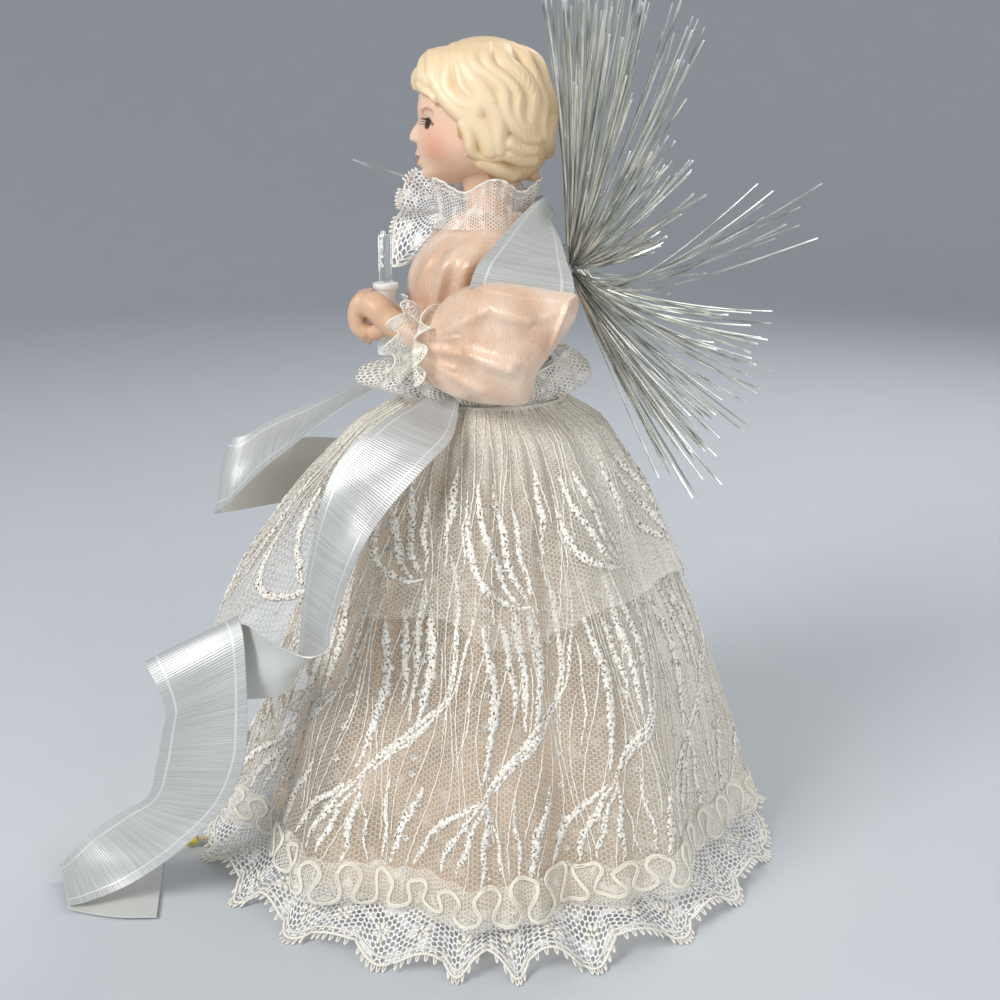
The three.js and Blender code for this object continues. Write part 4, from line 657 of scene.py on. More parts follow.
neck_profile = spline(NECK_STATIONS, NECK_ROWS)
neck_turn = np.linspace(0, 2 * np.pi, NECK_COLUMNS, endpoint=False)
neck_points = round_z(neck_profile[:, :1], neck_turn, neck_profile[:, 1:]) + [0, NECK_BACK, 0]
neck = loft("painted_neck", neck_points, bisque, wrap=True, caps=True, sharp=1.0)
paint_points(neck, SKIN)
fit(neck, "head")

# Skirts: a satin underskirt over the cone, an embroidered net overskirt gathered at the waist, and a
# shorter flounce of the same net over it that puffs out in front. Sewn, gathered and glued at the waist.
CONE_FOOT_RADIUS, CONE_TOP_RADIUS, CONE_HEIGHT = 80, 24, 168
UNDER_TOP, UNDER_FOOT = 166.0, 5.0
OVER_TOP, OVER_FOOT = 167.5, 13.7
FLOUNCE_TOP, FLOUNCE_FALL, FLOUNCE_FRONT_FALL = 168.4, 64.4, 32.0
FLOUNCE_FRONT_HALF_ANGLE, FLOUNCE_PUFF = 0.6, 24.0
UNDER_OFF_CONE, OVER_OFF_CONE, FLOUNCE_OFF_NET = 1.6, 2.6, 1.4
UNDER_FOLDS, OVER_FOLDS, FLOUNCE_FOLDS = 8, 9, 11
UNDER_FOLD_DEPTH, OVER_FOLD_DEPTH, FLOUNCE_FOLD_DEPTH = 3, 5, 1.3
OVER_GATHERS, FLOUNCE_GATHERS = 46, 50
OVER_STANDS_OFF = np.array([[0, 0], [0.06, 9], [0.2, 13], [0.5, 17], [0.8, 18], [1, 18]])
SKIRT_COLUMNS = 480
CORD_LIFT = 0.25


def cone_radius(height):
    """The cone's outside radius at a height."""
    return CONE_FOOT_RADIUS + (CONE_TOP_RADIUS - CONE_FOOT_RADIUS) * height / CONE_HEIGHT


def underskirt_point(angle, share):
    """Just off the cone, with soft folds that deepen down to the hem and smaller ones between."""
    height = UNDER_TOP + share * (UNDER_FOOT - UNDER_TOP)
    folds = UNDER_FOLD_DEPTH * share * (1 + np.cos(UNDER_FOLDS * angle + 0.5 * np.sin(3 * angle)))
    small = 0.5 * share * np.cos(23 * angle + 3 * share)
    return round_z(cone_radius(height) + UNDER_OFF_CONE + folds + small, angle, height)


def overskirt_point(angle, share):
    """Stands off the cone on a drawn curve, with main folds, uneven small ones, tight gathers on top, and
    more fullness behind."""
    height = OVER_TOP + share * (OVER_FOOT - OVER_TOP)
    stand = np.interp(share, OVER_STANDS_OFF[:, 0], OVER_STANDS_OFF[:, 1])
    folds = OVER_FOLD_DEPTH * share * np.cos(OVER_FOLDS * angle + 0.4 * np.sin(2 * angle))
    small = 1.6 * share * np.cos(20 * angle + 2.5 * np.sin(2 * angle) + 2 * share)
    small += 0.7 * share * np.cos(37 * angle + 4 * np.sin(3 * angle) + 3 * share)
    gathers = 0.8 * np.cos(OVER_GATHERS * angle) * smooth(0.02, 0.1, share) * (1 - share) ** 2
    behind = 4.5 * np.exp(-((away(angle, 1.4) / 0.9) ** 2)) * np.sin(np.pi * np.clip(share, 0, 1))
    radius = cone_radius(height) + OVER_OFF_CONE + stand + folds + small + gathers + behind
    return round_z(radius, angle, height)


def flounce_point(angle, share):
    """Over the overskirt: falls further in front, where it puffs out, to an uneven edge, with soft folds,
    tight gathers and a heap of small folds at the left back."""
    front = np.exp(-((away(angle, FRONT) / FLOUNCE_FRONT_HALF_ANGLE) ** 2))
    uneven = 5.0 * np.sin(4 * angle + 1) + 2.5 * np.sin(9 * angle)
    height = FLOUNCE_TOP - share * (FLOUNCE_FALL + uneven + FLOUNCE_FRONT_FALL * front)
    under_share = np.clip((OVER_TOP - height) / (OVER_TOP - OVER_FOOT), 0, 1)
    below = overskirt_point(angle, under_share)
    base = np.hypot(below[..., 0], below[..., 1])
    folds = FLOUNCE_FOLD_DEPTH * share * (1 + np.cos(FLOUNCE_FOLDS * angle + 0.5 * np.sin(3 * angle)))
    gathers = 0.7 * (1 + np.cos(FLOUNCE_GATHERS * angle)) * smooth(0.02, 0.12, share) * (1 - share)
    puff = FLOUNCE_PUFF * front * np.sin(0.62 * np.pi * share)
    small = 1.0 * share * np.cos(26 * angle + 2 * np.sin(3 * angle))
    heap = 1.6 * (1 + np.cos(19 * angle + 2 * share)) * np.exp(-((away(angle, 0.75) / 0.6) ** 2))
    heap = heap * np.sin(np.pi * np.clip(share, 0, 1) ** 0.7)
    out = FLOUNCE_OFF_NET + 2 * share + folds + gathers + puff + heap + np.maximum(small, -0.6)
    return round_z(base + out, angle, height)


def net_material(
    name, color, pitch_mm, thread, cover, filling=0.0, haze=0.0, gathered_mm=0.0, bunched_mm=0.0
):
    """Hexagonal net in thread: three waves at 60 degrees add up to a peak in each hole, and where the sum is
    below the thread's level it is thread, which hides a share of what lies behind. The map's unit is a
    millimetre of cloth. Thread 0.15 mm thick is drawn at about 0.3 mm and half clear, so that it shows, and
    haze is the share hidden by hairs across the holes. Within gathered_mm of its upper edge, and at
    bunched_mm round from the left, the cloth lies several layers thick."""
    material, tree, sockets = start_material(name, color, 0.75, Sheen_Weight=0.15)
    cloth = add(tree, "ShaderNodeUVMap").outputs[0]
    number = 4 * np.pi / (np.sqrt(3) * pitch_mm)
    waves = []
    for turn in (0, np.pi / 3, 2 * np.pi / 3):
        heading = (number * np.cos(turn), number * np.sin(turn), 0)
        phase = add(tree, "ShaderNodeVectorMath", {0: cloth, 1: heading}, operation="DOT_PRODUCT")
        waves.append(add(tree, "ShaderNodeMath", {0: phase.outputs["Value"]}, operation="COSINE").outputs[0])
    two = add(tree, "ShaderNodeMath", {0: waves[0], 1: waves[1]}, operation="ADD").outputs[0]
    peak = add(tree, "ShaderNodeMath", {0: two, 1: waves[2]}, operation="ADD").outputs[0]
    level = {0: peak, 1: thread + 0.3, 2: thread - 0.2, 3: haze, 4: cover}
    covered = add(tree, "ShaderNodeMapRange", level).outputs[0]
    if filling:
        # Fine filling stitches, in patches about 5 mm across
        patch = add(tree, "ShaderNodeTexNoise", {"Vector": cloth, "Scale": 0.2, "Detail": 2.0})
        filled = add(tree, "ShaderNodeMapRange", {0: patch.outputs[0], 1: 0.5, 2: 0.64, 4: filling})
        either = {0: covered, 1: filled.outputs[0]}
        covered = add(tree, "ShaderNodeMath", either, operation="MAXIMUM").outputs[0]
    if gathered_mm:
        apart = add(tree, "ShaderNodeSeparateXYZ", {0: cloth})
        grain = add(tree, "ShaderNodeTexNoise", {"Vector": cloth, "Scale": 0.9, "Detail": 2.0})
        rough = add(tree, "ShaderNodeMapRange", {0: grain.outputs[0], 1: 0.35, 2: 0.65, 3: 0.35}).outputs[0]
        pleats = {0: apart.outputs["Y"], 1: 0.0, 2: gathered_mm, 3: 0.75, 4: 0.0}
        pleats = add(tree, "ShaderNodeMapRange", pleats).outputs[0]
        off_heap = add(tree, "ShaderNodeMath", {0: apart.outputs["X"], 1: bunched_mm}, operation="SUBTRACT")
        off_heap = add(tree, "ShaderNodeMath", {0: off_heap.outputs[0]}, operation="ABSOLUTE").outputs[0]
        heap = {0: off_heap, 1: 0.0, 2: 0.75 * bunched_mm, 3: 0.75, 4: 0.0}
        heap = add(tree, "ShaderNodeMapRange", heap, interpolation_type="SMOOTHSTEP").outputs[0]
        layers = add(tree, "ShaderNodeMath", {0: pleats, 1: heap}, operation="MAXIMUM").outputs[0]
        layers = add(tree, "ShaderNodeMath", {0: layers, 1: rough}, operation="MULTIPLY").outputs[0]
        covered = add(tree, "ShaderNodeMix", {0: layers, 2: covered, 3: 1.0}).outputs[0]
    tree.links.new(covered, sockets["Alpha"])
    return material


# Tulle: sheer where it hangs open, white and nearly closed where it is drawn up or heaped
skirt_net = net_material("embroidered tulle net", "F4EEE2", 1.7, -1.0, 0.52, 0.32, 0.12, 26.0, 105.0)
flounce_net = net_material("gathered embroidered net", "F4EEE2", 1.7, -1.0, 0.52, 0.32, 0.12, 26.0, 84.0)
# Satin stitch: matt cotton, ridged across each cord. Its threads are 0.3 mm apart, too fine to show, so they
# are drawn 0.9 mm apart
stitch, stitch_tree, stitch_sockets = start_material(
    "satin-stitched cotton", "F4EFE3", 0.65, Sheen_Weight=0.2
)
stitch_uv = add(stitch_tree, "ShaderNodeSeparateXYZ", {0: add(stitch_tree, "ShaderNodeUVMap").outputs[0]})
stitch_phase = {0: stitch_uv.outputs["Y"], 1: 2 * np.pi / 0.9}
stitch_wave = add(stitch_tree, "ShaderNodeMath", stitch_phase, operation="MULTIPLY")
stitch_sine = add(stitch_tree, "ShaderNodeMath", {0: stitch_wave.outputs[0]}, operation="SINE")
stitch_bump = add(stitch_tree, "ShaderNodeBump", {"Height": stitch_sine.outputs[0], "Distance": 0.00008})
stitch_tree.links.new(stitch_bump.outputs["Normal"], stitch_sockets["Normal"])

# Looped stitch: white cotton tufts 0.9 mm across with painted shade in the gaps between them, which sparkle
# in side light
tufts, tufts_tree, tufts_sockets = start_material("looped cotton stitch", "F7F2E6", 0.6, Sheen_Weight=0.25)
tuft_place = add(tufts_tree, "ShaderNodeTexCoord").outputs["Object"]
tuft_grain = {"Vector": tuft_place, "Scale": 1000 / 0.9, "Detail": 1.5}
tuft = add(tufts_tree, "ShaderNodeTexNoise", tuft_grain).outputs[0]
# Painted shade: the colour darkens where the noise falls towards the gaps
tuft_gap_shade = add(tufts_tree, "ShaderNodeMapRange", {0: tuft, 1: 0.38, 2: 0.62}).outputs[0]
tuft_and_gap_shade_colors = {0: tuft_gap_shade, 6: linear("DDD2C0"), 7: linear("FDFBF5")}
tuft_shaded_color = add(tufts_tree, "ShaderNodeMix", tuft_and_gap_shade_colors, data_type="RGBA").outputs[2]
tufts_tree.links.new(tuft_shaded_color, tufts_sockets["Base Color"])
tuft_cover = add(tufts_tree, "ShaderNodeMapRange", {0: tuft, 1: 0.34, 2: 0.42}).outputs[0]
tufts_tree.links.new(tuft_cover, tufts_sockets["Alpha"])
tuft_bump = add(tufts_tree, "ShaderNodeBump", {"Height": tuft, "Distance": 0.0004, "Strength": 0.7})
tufts_tree.links.new(tuft_bump.outputs["Normal"], tufts_sockets["Normal"])


def cloth_ring(
    name, surface, rows, material, columns=SKIRT_COLUMNS, scale=100.0, length=155.0, rising=False
):
    """A cloth that goes all the way round, mapped in millimetres of flat cloth. Its grid runs clockwise where
    it falls and the other way where it rises, so that its face is outside."""
    turn = np.linspace(0, 2 * np.pi, columns + 1)
    angle, share = np.meshgrid(turn if rising else turn[::-1], np.linspace(0, 1, rows))
    uv = np.stack([angle * scale, share * length], -1)
    return loft(name, surface(angle, share)[:, :-1], material, wrap=True, uv=uv)


def on_cloth(surface, angle, share, lift):
    """Points lifted off a cloth along its outward direction, and that direction."""
    step = 0.002
    across = surface(angle + step, share) - surface(angle - step, share)
    down = surface(angle, np.minimum(share + step, 1)) - surface(angle, np.maximum(share - step, 0))
    out = unit(np.cross(down, across))
    return surface(angle, share) + lift * out, out


def cords_on(
    name, surface, angle, share, half_width, material, sides=6, flat=0.55, body="figure", slot="lace"
):
    """Stitched cords that lie on a cloth, along paths given by angle and share of its fall."""
    paths, out = on_cloth(surface, angle, share, CORD_LIFT)
    rings = tubes(paths, half_width, sides, flat=flat, up=out)
    walked = np.cumsum(np.linalg.norm(np.diff(paths, axis=1, prepend=paths[:, :1]), axis=-1), 1)
    round_share = np.linspace(0, 1, sides + 1)
    uv = np.stack(np.broadcast_arrays(round_share[None, None], walked[..., None]), -1)
    made = loft(name, rings, material, wrap=True, caps=True, uv=uv)
    fit(made, body=body)
    return made


# Beige satin: the same weave as the bodice, duller and browner, partly its own colour and partly painted
# shade from the net over it
lining_satin = satin_material("beige polyester satin", "DAC2A5", "C5AA8B")
underskirt = cloth_ring("satin_underskirt", underskirt_point, 60, lining_satin, columns=360)
solidify(underskirt, SATIN_THICKNESS)
fit(underskirt, "underskirt")

overskirt = cloth_ring("lace_overskirt", overskirt_point, 90, skirt_net)
fit(overskirt, "overskirt")

flounce = cloth_ring("lace_flounce", flounce_point, 60, flounce_net, scale=80.0, length=75.0)
fit(flounce, "peplum")

# Embroidery on the skirts: cords that hang down and draw together into a stem, which winds to the next motif
# and spreads in a fan to the hem. Cotton satin stitch on the net, drawn on flat cloth in millimetres.
FERNS, COMBS = 12, 11
CORD_STEPS = 72
HEM_SCALE, COMB_SCALE = 100.0, 64.0
CORD_HALF_WIDTH = 1.45
# Each cord's start, two handles and end, round and up from the hem, and its share of the full width
FERN_CORDS = np.array(
    [
        [-28, 13, -24, 24, -10, 34, -2, 38, 1.0],
        [-17, 13, -15, 22, -7, 32, -1, 38, 1.0],
        [-10, 14, -9, 22, -4, 31, 0, 38, 0.8],
        [-2, 12, -1, 20, 0, 30, 0.5, 38, 0.9],
        [6, 12, 5, 20, 3, 28, 2, 33, 0.4],
        [12, 13, 11.5, 20, 10.5, 30, 10, 40, 0.5],
        [-37, 12, -36, 22, -30, 30, -26, 38, 1.2],
        [-2, 38, 8, 50, 22, 52, 34, 64, 0.9],
        [0, 38, 9, 52, 24, 56, 35, 67, 0.9],
        [34, 64, 40, 72, 45, 86, 47, 102, 0.5],
        [2, 40, 10, 47, 20, 51, 27, 57, 0.6],
        [-2, 90, 4, 76, 6, 58, -3, 42, 1.3],
        [6, 93, 10, 82, 13, 74, 12, 62, 1.1],
        [15, 102, 15, 88, 18, 72, 17, 57, 1.2],
        [21, 98, 25, 84, 28, 68, 20, 57, 1.3],
        [31, 110, 38, 98, 41, 82, 32, 64, 0.9],
        [-8, 84, -5, 72, -8, 60, -12, 46, 0.35],
        [-15, 100, -12, 84, -17, 66, -20, 48, 0.3],
    ]
)
COMB_CORDS = np.array(
    [
        [-23, 24, -22, 8, -14, -1, 0, 0, 1.1],
        [-19, 32, -15, 18, -11, 6, -4, 1, 1.2],
        [-12, 33, -9, 20, -7, 8, -2, 2, 1.2],
        [-5, 28, -2, 18, -2, 8, 0, 2, 0.8],
        [7, 36, 9, 26, 6, 18, 7, 11, 1.0],
        [0, 0, 3, -8, -2, -12, 0, -18, 0.35],
        [14, 30, 12, 20, 15, 12, 13, 2, 0.3],
    ]
)


def cord_curves(table):
    """Cubic curves of a motif's cords, with the slight wander of stitching."""
    t = np.linspace(0, 1, CORD_STEPS)[:, None]
    a, b, c, d = (table[:, None, i : i + 2] for i in (0, 2, 4, 6))
    curves = a * (1 - t) ** 3 + 3 * b * t * (1 - t) ** 2 + 3 * c * t * t * (1 - t) + d * t**3
    curves[..., 0] += 0.6 * np.sin(np.linspace(0, 11, CORD_STEPS) + 2.0 * np.arange(len(table))[:, None])
    return curves + draws.uniform(-0.22, 0.22, curves.shape)


def stitched_widths(shares, repeats):
    """Half widths that swell along each cord and thin out at its ends, ragged from stitch to stitch."""
    t = np.linspace(0, 1, CORD_STEPS)
    swell = 0.25 + 0.75 * np.sin(np.pi * t**0.85) ** 0.8
    full = np.tile(shares, repeats)[:, None] * swell
    return CORD_HALF_WIDTH * full * draws.uniform(0.5, 1.4, full.shape)


def repeated(table, count, scale, start):
    """A motif's cords, drawn again at even steps round the cloth, the first one a share of a step along."""
    step = 2 * np.pi * scale / count
    return np.concatenate([cord_curves(table) + [step * (k + start), 0] for k in range(count)])


over_fall = OVER_TOP - OVER_FOOT
fern_curves = repeated(FERN_CORDS, FERNS, HEM_SCALE, 0)
over_cords = cords_on(
    "overskirt_embroidery",
    overskirt_point,
    fern_curves[..., 0] / HEM_SCALE,
    np.clip(1 - fern_curves[..., 1] / over_fall, 0, 1),
    stitched_widths(FERN_CORDS[:, 8], FERNS),
    tufts,
    flat=0.4,
)
# Single threads between the motifs: each starts near the hem, runs up its own length and sways on the way
THREADS, THREAD_STEPS = 120, 80
thread_number = np.arange(THREADS)[:, None]
thread_rise = 88 + 26 * np.sin(3.7 * thread_number)
thread_up = 14 + 12 * np.sin(2.1 * thread_number) + np.linspace(0, 1, THREAD_STEPS) * thread_rise
thread_sway = 4 * np.sin(thread_up / 13 + 0.9 * thread_number) + 0.12 * (thread_up - 60)
thread_sway += draws.uniform(-0.25, 0.25, thread_up.shape)
thin_cords = cords_on(
    "overskirt_threads",
    overskirt_point,
    2 * np.pi * thread_number / THREADS + thread_sway / HEM_SCALE,
    1 - thread_up / over_fall,
    draws.uniform(0.16, 0.42, thread_up.shape),
    stitch,
    sides=4,
    flat=0.6,
)
COMB_FOOT = 0.82
comb_curves = repeated(COMB_CORDS, COMBS, COMB_SCALE, 0.4)
flounce_cords = cords_on(
    "flounce_embroidery",
    flounce_point,
    comb_curves[..., 0] / COMB_SCALE,
    COMB_FOOT - comb_curves[..., 1] / FLOUNCE_FALL,
    stitched_widths(COMB_CORDS[:, 8], COMBS),
    tufts,
    flat=0.4,
)

# Sprigs: small flowers with five petals, scattered over the overskirt between the cords.
# Each is one loop of cotton thread, stitched on the net by machine.
SPRIGS, SPRIG_TURNS, SPRIG_RADIUS = 260, 13, 1.5
# They wind round the skirt while the golden section spreads them up and down
sprig_angle = np.linspace(0, 2 * np.pi, SPRIGS, endpoint=False) * SPRIG_TURNS
sprig_share = 0.12 + 0.82 * np.mod(np.arange(SPRIGS) * 0.618, 1)
petal = np.linspace(0, 2 * np.pi, 11)
sprig_outline = SPRIG_RADIUS * (0.65 + 0.35 * np.cos(5 * petal))
# The skirt's radius grows from about 40 mm at the waist to 100 mm at the hem
loop_angle = sprig_angle[:, None] + sprig_outline * np.cos(petal) / (40 + 60 * sprig_share[:, None])
loop_share = sprig_share[:, None] + sprig_outline * np.sin(petal) / over_fall
sprigs = cords_on(
    "overskirt_sprigs", overskirt_point, loop_angle, loop_share, 0.42, stitch, sides=4, flat=0.8
)

# Flounce threads: fine cotton lines that hang from the gathers between the flounce's motifs.
# Run through the net by machine, some of them most of the way down and some less.
FLOUNCE_THREADS, FLOUNCE_THREAD_STEPS = 90, 60
flounce_number = np.arange(FLOUNCE_THREADS)[:, None]
flounce_length = 0.94 * (0.75 + 0.25 * np.sin(2.3 * flounce_number))
flounce_share = 0.02 + np.linspace(0, 1, FLOUNCE_THREAD_STEPS) * flounce_length
flounce_sway = 0.05 * np.sin(5 * flounce_share + flounce_number)
flounce_sway += draws.uniform(-0.004, 0.004, flounce_share.shape)
flounce_threads = cords_on(
    "flounce_threads",
    flounce_point,
    2 * np.pi * flounce_number / FLOUNCE_THREADS + flounce_sway,
    flounce_share,
    draws.uniform(0.16, 0.45, flounce_share.shape),
    stitch,
    sides=4,
    flat=0.6,
)

# Header: the flounce's upper edge, which puffs up past its gathering thread and hides the waist.
# It is the same net, fluted by the gathers, fuller in front and behind than under the arms.
HEADER_FOOT, HEADER_RADIUS, HEADER_FLUTES = 168.6, 27.0, 19


def header_point(angle, share):
    """Rises from the waist, swells out in flutes and turns in again, most in front and behind."""
    ends = np.abs(np.sin(angle)) ** 2
    front = np.exp(-((away(angle, FRONT) / 0.7) ** 2))
    swell = np.sin(np.pi * np.clip(share, 0, 1) ** 0.8)
    flute = (0.3 + swell) * np.cos(HEADER_FLUTES * angle + 1.6 * np.sin(3 * angle))
    radius = HEADER_RADIUS + swell * (2.5 + 6 * ends + 9 * front) + share * (1.5 + 3 * front) + 1.5 * flute
    rise = share * (8.0 + 8.5 * ends - 4 * front)
    return round_z(radius, angle, HEADER_FOOT + rise + 0.7 * flute * ends * share)


# Gathered tulle: whiter and closer than the skirts, because it lies double
header_net = net_material("gathered tulle net", "F4EFE6", 1.4, -0.45, 0.85, filling=0.7)
header = cloth_ring("lace_header", header_point, 14, header_net, 400, 34.0, 16.0, rising=True)
fit(header, "peplum")


def edge_cords(name, surface, angles, shares, widths, flat=0.8, **more):
    """Stitched cords that follow a cloth's edge, each at its own share of the way out and its own width."""
    angle, share = np.meshgrid(angles, shares)
    half_widths = np.array(widths)[:, None]
    return cords_on(name, surface, angle, share, half_widths, stitch, sides=5, flat=flat, **more)


header_line = np.linspace(0, 2 * np.pi, 361)
header_cord = edge_cords("header_cord", header_point, header_line, [0.98], [0.4], flat=0.55)

# Hem frill: bought scalloped lace edging, gathered and sewn inside the overskirt's foot so that it lies out
# flat. White cotton lace on hexagonal net, with corded scallops, small medallions and a row of picot loops.
FRILL_INNER, FRILL_REACH = 90.5, 19.0
FRILL_INNER_Z, FRILL_OUTER_Z = 12.6, 2.9
SCALLOPS = 44
FRILL_WAVES, FRILL_WAVE_HEIGHT = 23, 4.0
PICOTS = 308
PICOT_FROM, PICOT_RADIUS = 0.99, 0.26
MEDAL_RING, MEDAL_SHARE = 102, 0.52
PETALS, PETAL_STEPS = 6, 6


def smooth_floor(height):
    """Heights kept above nothing, with a soft bend where they meet it."""
    return (height + np.sqrt(height**2 + 1.5)) / 2


def frill_point(angle, share):
    """Runs outwards and down from under the overskirt in gathers, its width swelling at each scallop."""
    scallop = np.abs(np.sin(SCALLOPS / 2 * angle)) ** 0.7
    reach = FRILL_REACH * (0.86 + 0.14 * scallop) * share
    phase = FRILL_WAVES * angle + 1.8 * np.sin(3 * angle) + 0.9 * np.sin(7 * angle)
    swing = share * (1 + 0.3 * np.sin(5 * angle))
    fall = share * (FRILL_OUTER_Z - FRILL_INNER_Z)
    height = FRILL_INNER_Z + fall + FRILL_WAVE_HEIGHT * swing * np.cos(phase)
    sway = 0.012 * swing * np.sin(phase)
    radius = FRILL_INNER + reach - 1.2 * share - 1.8 * swing * np.cos(phase)
    return round_z(radius, angle + sway, 0.7 + smooth_floor(height))


# Cotton lace: crisp white threads with clear holes, closed in patches by filling stitches
frill_net = net_material("white cotton lace net", "FAF9F6", 2.0, -0.7, 0.85, filling=0.6)
frill = cloth_ring("lace_hem_frill", frill_point, 24, frill_net, columns=704, scale=104.0, length=20.0)
fit(frill, "hem_ruffle")
frill_line = np.linspace(0, 2 * np.pi, 1057)
frill_cords = edge_cords(
    "frill_cords", frill_point, frill_line, [0.985, 0.86], [0.5, 0.36], slot="hem_lace"
)
medal_middle = (np.arange(SCALLOPS) + 0.5) * 2 * np.pi / SCALLOPS
petal_turn = np.tile(np.arange(PETALS) * 2 * np.pi / PETALS + 0.5, SCALLOPS)[:, None]
petal_reach = np.linspace(0.9, 3.4, PETAL_STEPS)
medal_angle = np.repeat(medal_middle, PETALS)[:, None] + petal_reach * np.cos(petal_turn) / MEDAL_RING
medal_share = MEDAL_SHARE + petal_reach * np.sin(petal_turn) / FRILL_REACH
petal_width = 0.85 * np.sin(np.linspace(0.3, 2.9, PETAL_STEPS))
medallions = cords_on(
    "frill_medallions", frill_point, medal_angle, medal_share, petal_width, stitch, 5, 0.4, slot="hem_lace"
)


def picots(name, surface, angles, length, half_width):
    """Thread loops that stand out past a cloth's edge: out on one side, round, and back on the other."""
    edge = surface(angles, PICOT_FROM)
    out = unit(edge - surface(angles, 0.9))
    side = unit(surface(angles + 0.003, PICOT_FROM) - edge)
    t = np.linspace(0, np.pi, 7)[None, :, None]
    loops = edge[:, None] + out[:, None] * (length * np.sin(t)) - side[:, None] * (half_width * np.cos(t))
    loops[..., 2] = np.maximum(loops[..., 2], 0.5)
    made = loft(name, tubes(loops, PICOT_RADIUS, 4), stitch, wrap=True, caps=True)
    fit(made)
    return made


picot_angle = np.linspace(0, 2 * np.pi, PICOTS, endpoint=False)
picot_angle = picot_angle[np.abs(np.sin(SCALLOPS / 2 * picot_angle)) > 0.4]
frill_picots = picots("frill_picots", frill_point, picot_angle, 2.5, 0.5)

# Hem heading: the frill's upper edge, drawn up in small puffs over the foot of the overskirt.
# Cotton net on a gathering thread, tacked down where the braid covers it.
HEADING_FROM, HEADING_RISE = 12.0, 14.0
HEADING_PUFFS = 61


def heading_point(angle, share):
    """The overskirt's outside carried down past its foot, pushed out in small puffs of gathered net."""
    rise = 1 - share
    height = HEADING_FROM + HEADING_RISE * rise
    at = np.clip((OVER_TOP - height) / over_fall, 0, 1)
    below = overskirt_point(angle, at)
    puff = 1.2 + np.cos(HEADING_PUFFS * angle + 3 * np.sin(4 * angle)) * (0.7 + 0.5 * np.sin(7 * angle))
    out = 0.7 + puff * np.sin(np.pi * np.clip(rise, 0, 1)) ** 0.7
    reach = np.hypot(below[..., 0], below[..., 1]) + out
    round_about = np.arctan2(below[..., 1], below[..., 0])
    return round_z(reach, round_about, height + 0.8 * np.cos(HEADING_PUFFS * angle) * rise)


# Gathered net: milky, with a fine grain of threads lying over each other
heading_net = net_material("gathered heading net", "F6F1E6", 1.3, -0.8, 0.6, filling=0.6, haze=0.2)
heading = cloth_ring("lace_hem_heading", heading_point, 14, heading_net, 720, 104.0, 15.0)
fit(heading, "hem_ruffle")

# Gimp braid: a narrow furnishing braid that winds in loops round the foot of the overskirt.
# Three cream rayon cords side by side, glued on over the puffed heading.
GIMP_LOOPS, GIMP_STEPS = 50, 22
GIMP_MIDDLE, GIMP_HALF_HEIGHT, GIMP_OVERHANG = 20.0, 5.2, 2.6
GIMP_CORDS, GIMP_GAP, GIMP_RADIUS = 3, 0.42, 0.24
GIMP_OFF_CLOTH = 0.5
gimp_t = np.linspace(0, 2 * np.pi, GIMP_LOOPS * GIMP_STEPS)
gimp_swing = GIMP_OVERHANG * (1 + 0.3 * np.sin(5 * gimp_t)) * np.sin(2 * GIMP_LOOPS * gimp_t)
gimp_size = 1 + 0.2 * np.sin(7 * gimp_t) + 0.15 * np.sin(11 * gimp_t)
gimp_up = GIMP_HALF_HEIGHT * np.cos(GIMP_LOOPS * gimp_t) * gimp_size + 1.2 * np.sin(3 * gimp_t)
gimp_flat = np.stack([gimp_t * HEM_SCALE + gimp_swing, GIMP_MIDDLE + gimp_up], -1)
gimp_ahead = unit(np.gradient(gimp_flat, axis=0))
gimp_side = np.stack([-gimp_ahead[:, 1], gimp_ahead[:, 0]], -1)
gimp_paths = gimp_flat[None] + gimp_side[None] * ((np.arange(GIMP_CORDS) - 1) * GIMP_GAP)[:, None, None]
gimp_shares = 1 - (gimp_paths[..., 1] - HEADING_FROM) / HEADING_RISE
gimp_points, gimp_out = on_cloth(heading_point, gimp_paths[..., 0] / HEM_SCALE, gimp_shares, 0.0)
gimp_outside = np.sign(np.sum(gimp_out[..., :2] * gimp_points[..., :2], -1, keepdims=True))
gimp_points += gimp_outside * gimp_out * GIMP_OFF_CLOTH
# Rayon cord: cream with a soft sheen, mottled by its twist
gimp_material = clouded("cream rayon cord", "F6F1E4", "EBE4D2", 0.5, 0.8, 0.15, Sheen_Weight=0.3)
gimp = loft("gimp_braid", tubes(gimp_points, GIMP_RADIUS, 5), gimp_material, wrap=True, caps=True)
fit(gimp, "hem_braid")

# Ribbon: a sash at the waist, a strap over each shoulder and two long tails that fall from the front.
# Silver-grey wired ribbon an inch wide, ribbed across on its face and smooth white behind. The straps and the
# sash are glued down, and the tails keep the folds that the wires in their edges are bent to.
RIBBON_WIDTH, RIBBON_THICKNESS = 25.4, 0.45
RIBBON_ACROSS = 15
BACK_MARK = 100.0
WIRE_FROM_EDGE = 3.2

# Ribbed ribbon: a silvery sheen drawn out along the ribs, with a paler line over each wire
ribbon, ribbon_tree, ribbon_sockets = start_material(
    "ribbed silver ribbon", "C2C3C1", 0.38, Metallic=0.3, Specular_IOR_Level=0.4
)
ribbon_map = add(ribbon_tree, "ShaderNodeUVMap").outputs[0]
ribbon_uv = add(ribbon_tree, "ShaderNodeSeparateXYZ", {0: ribbon_map})
across_mm, along_mm = ribbon_uv.outputs["X"], ribbon_uv.outputs["Y"]
past_rim = {0: across_mm, 1: BACK_MARK / 2}
behind = add(ribbon_tree, "ShaderNodeMath", past_rim, operation="GREATER_THAN").outputs[0]
# Ribs 0.4 mm apart are too fine to show, so they are drawn 0.9 mm apart
rib_phase = add(ribbon_tree, "ShaderNodeMath", {0: along_mm, 1: 2 * np.pi / 0.9}, operation="MULTIPLY")
rib = add(ribbon_tree, "ShaderNodeMath", {0: rib_phase.outputs[0]}, operation="SINE").outputs[0]
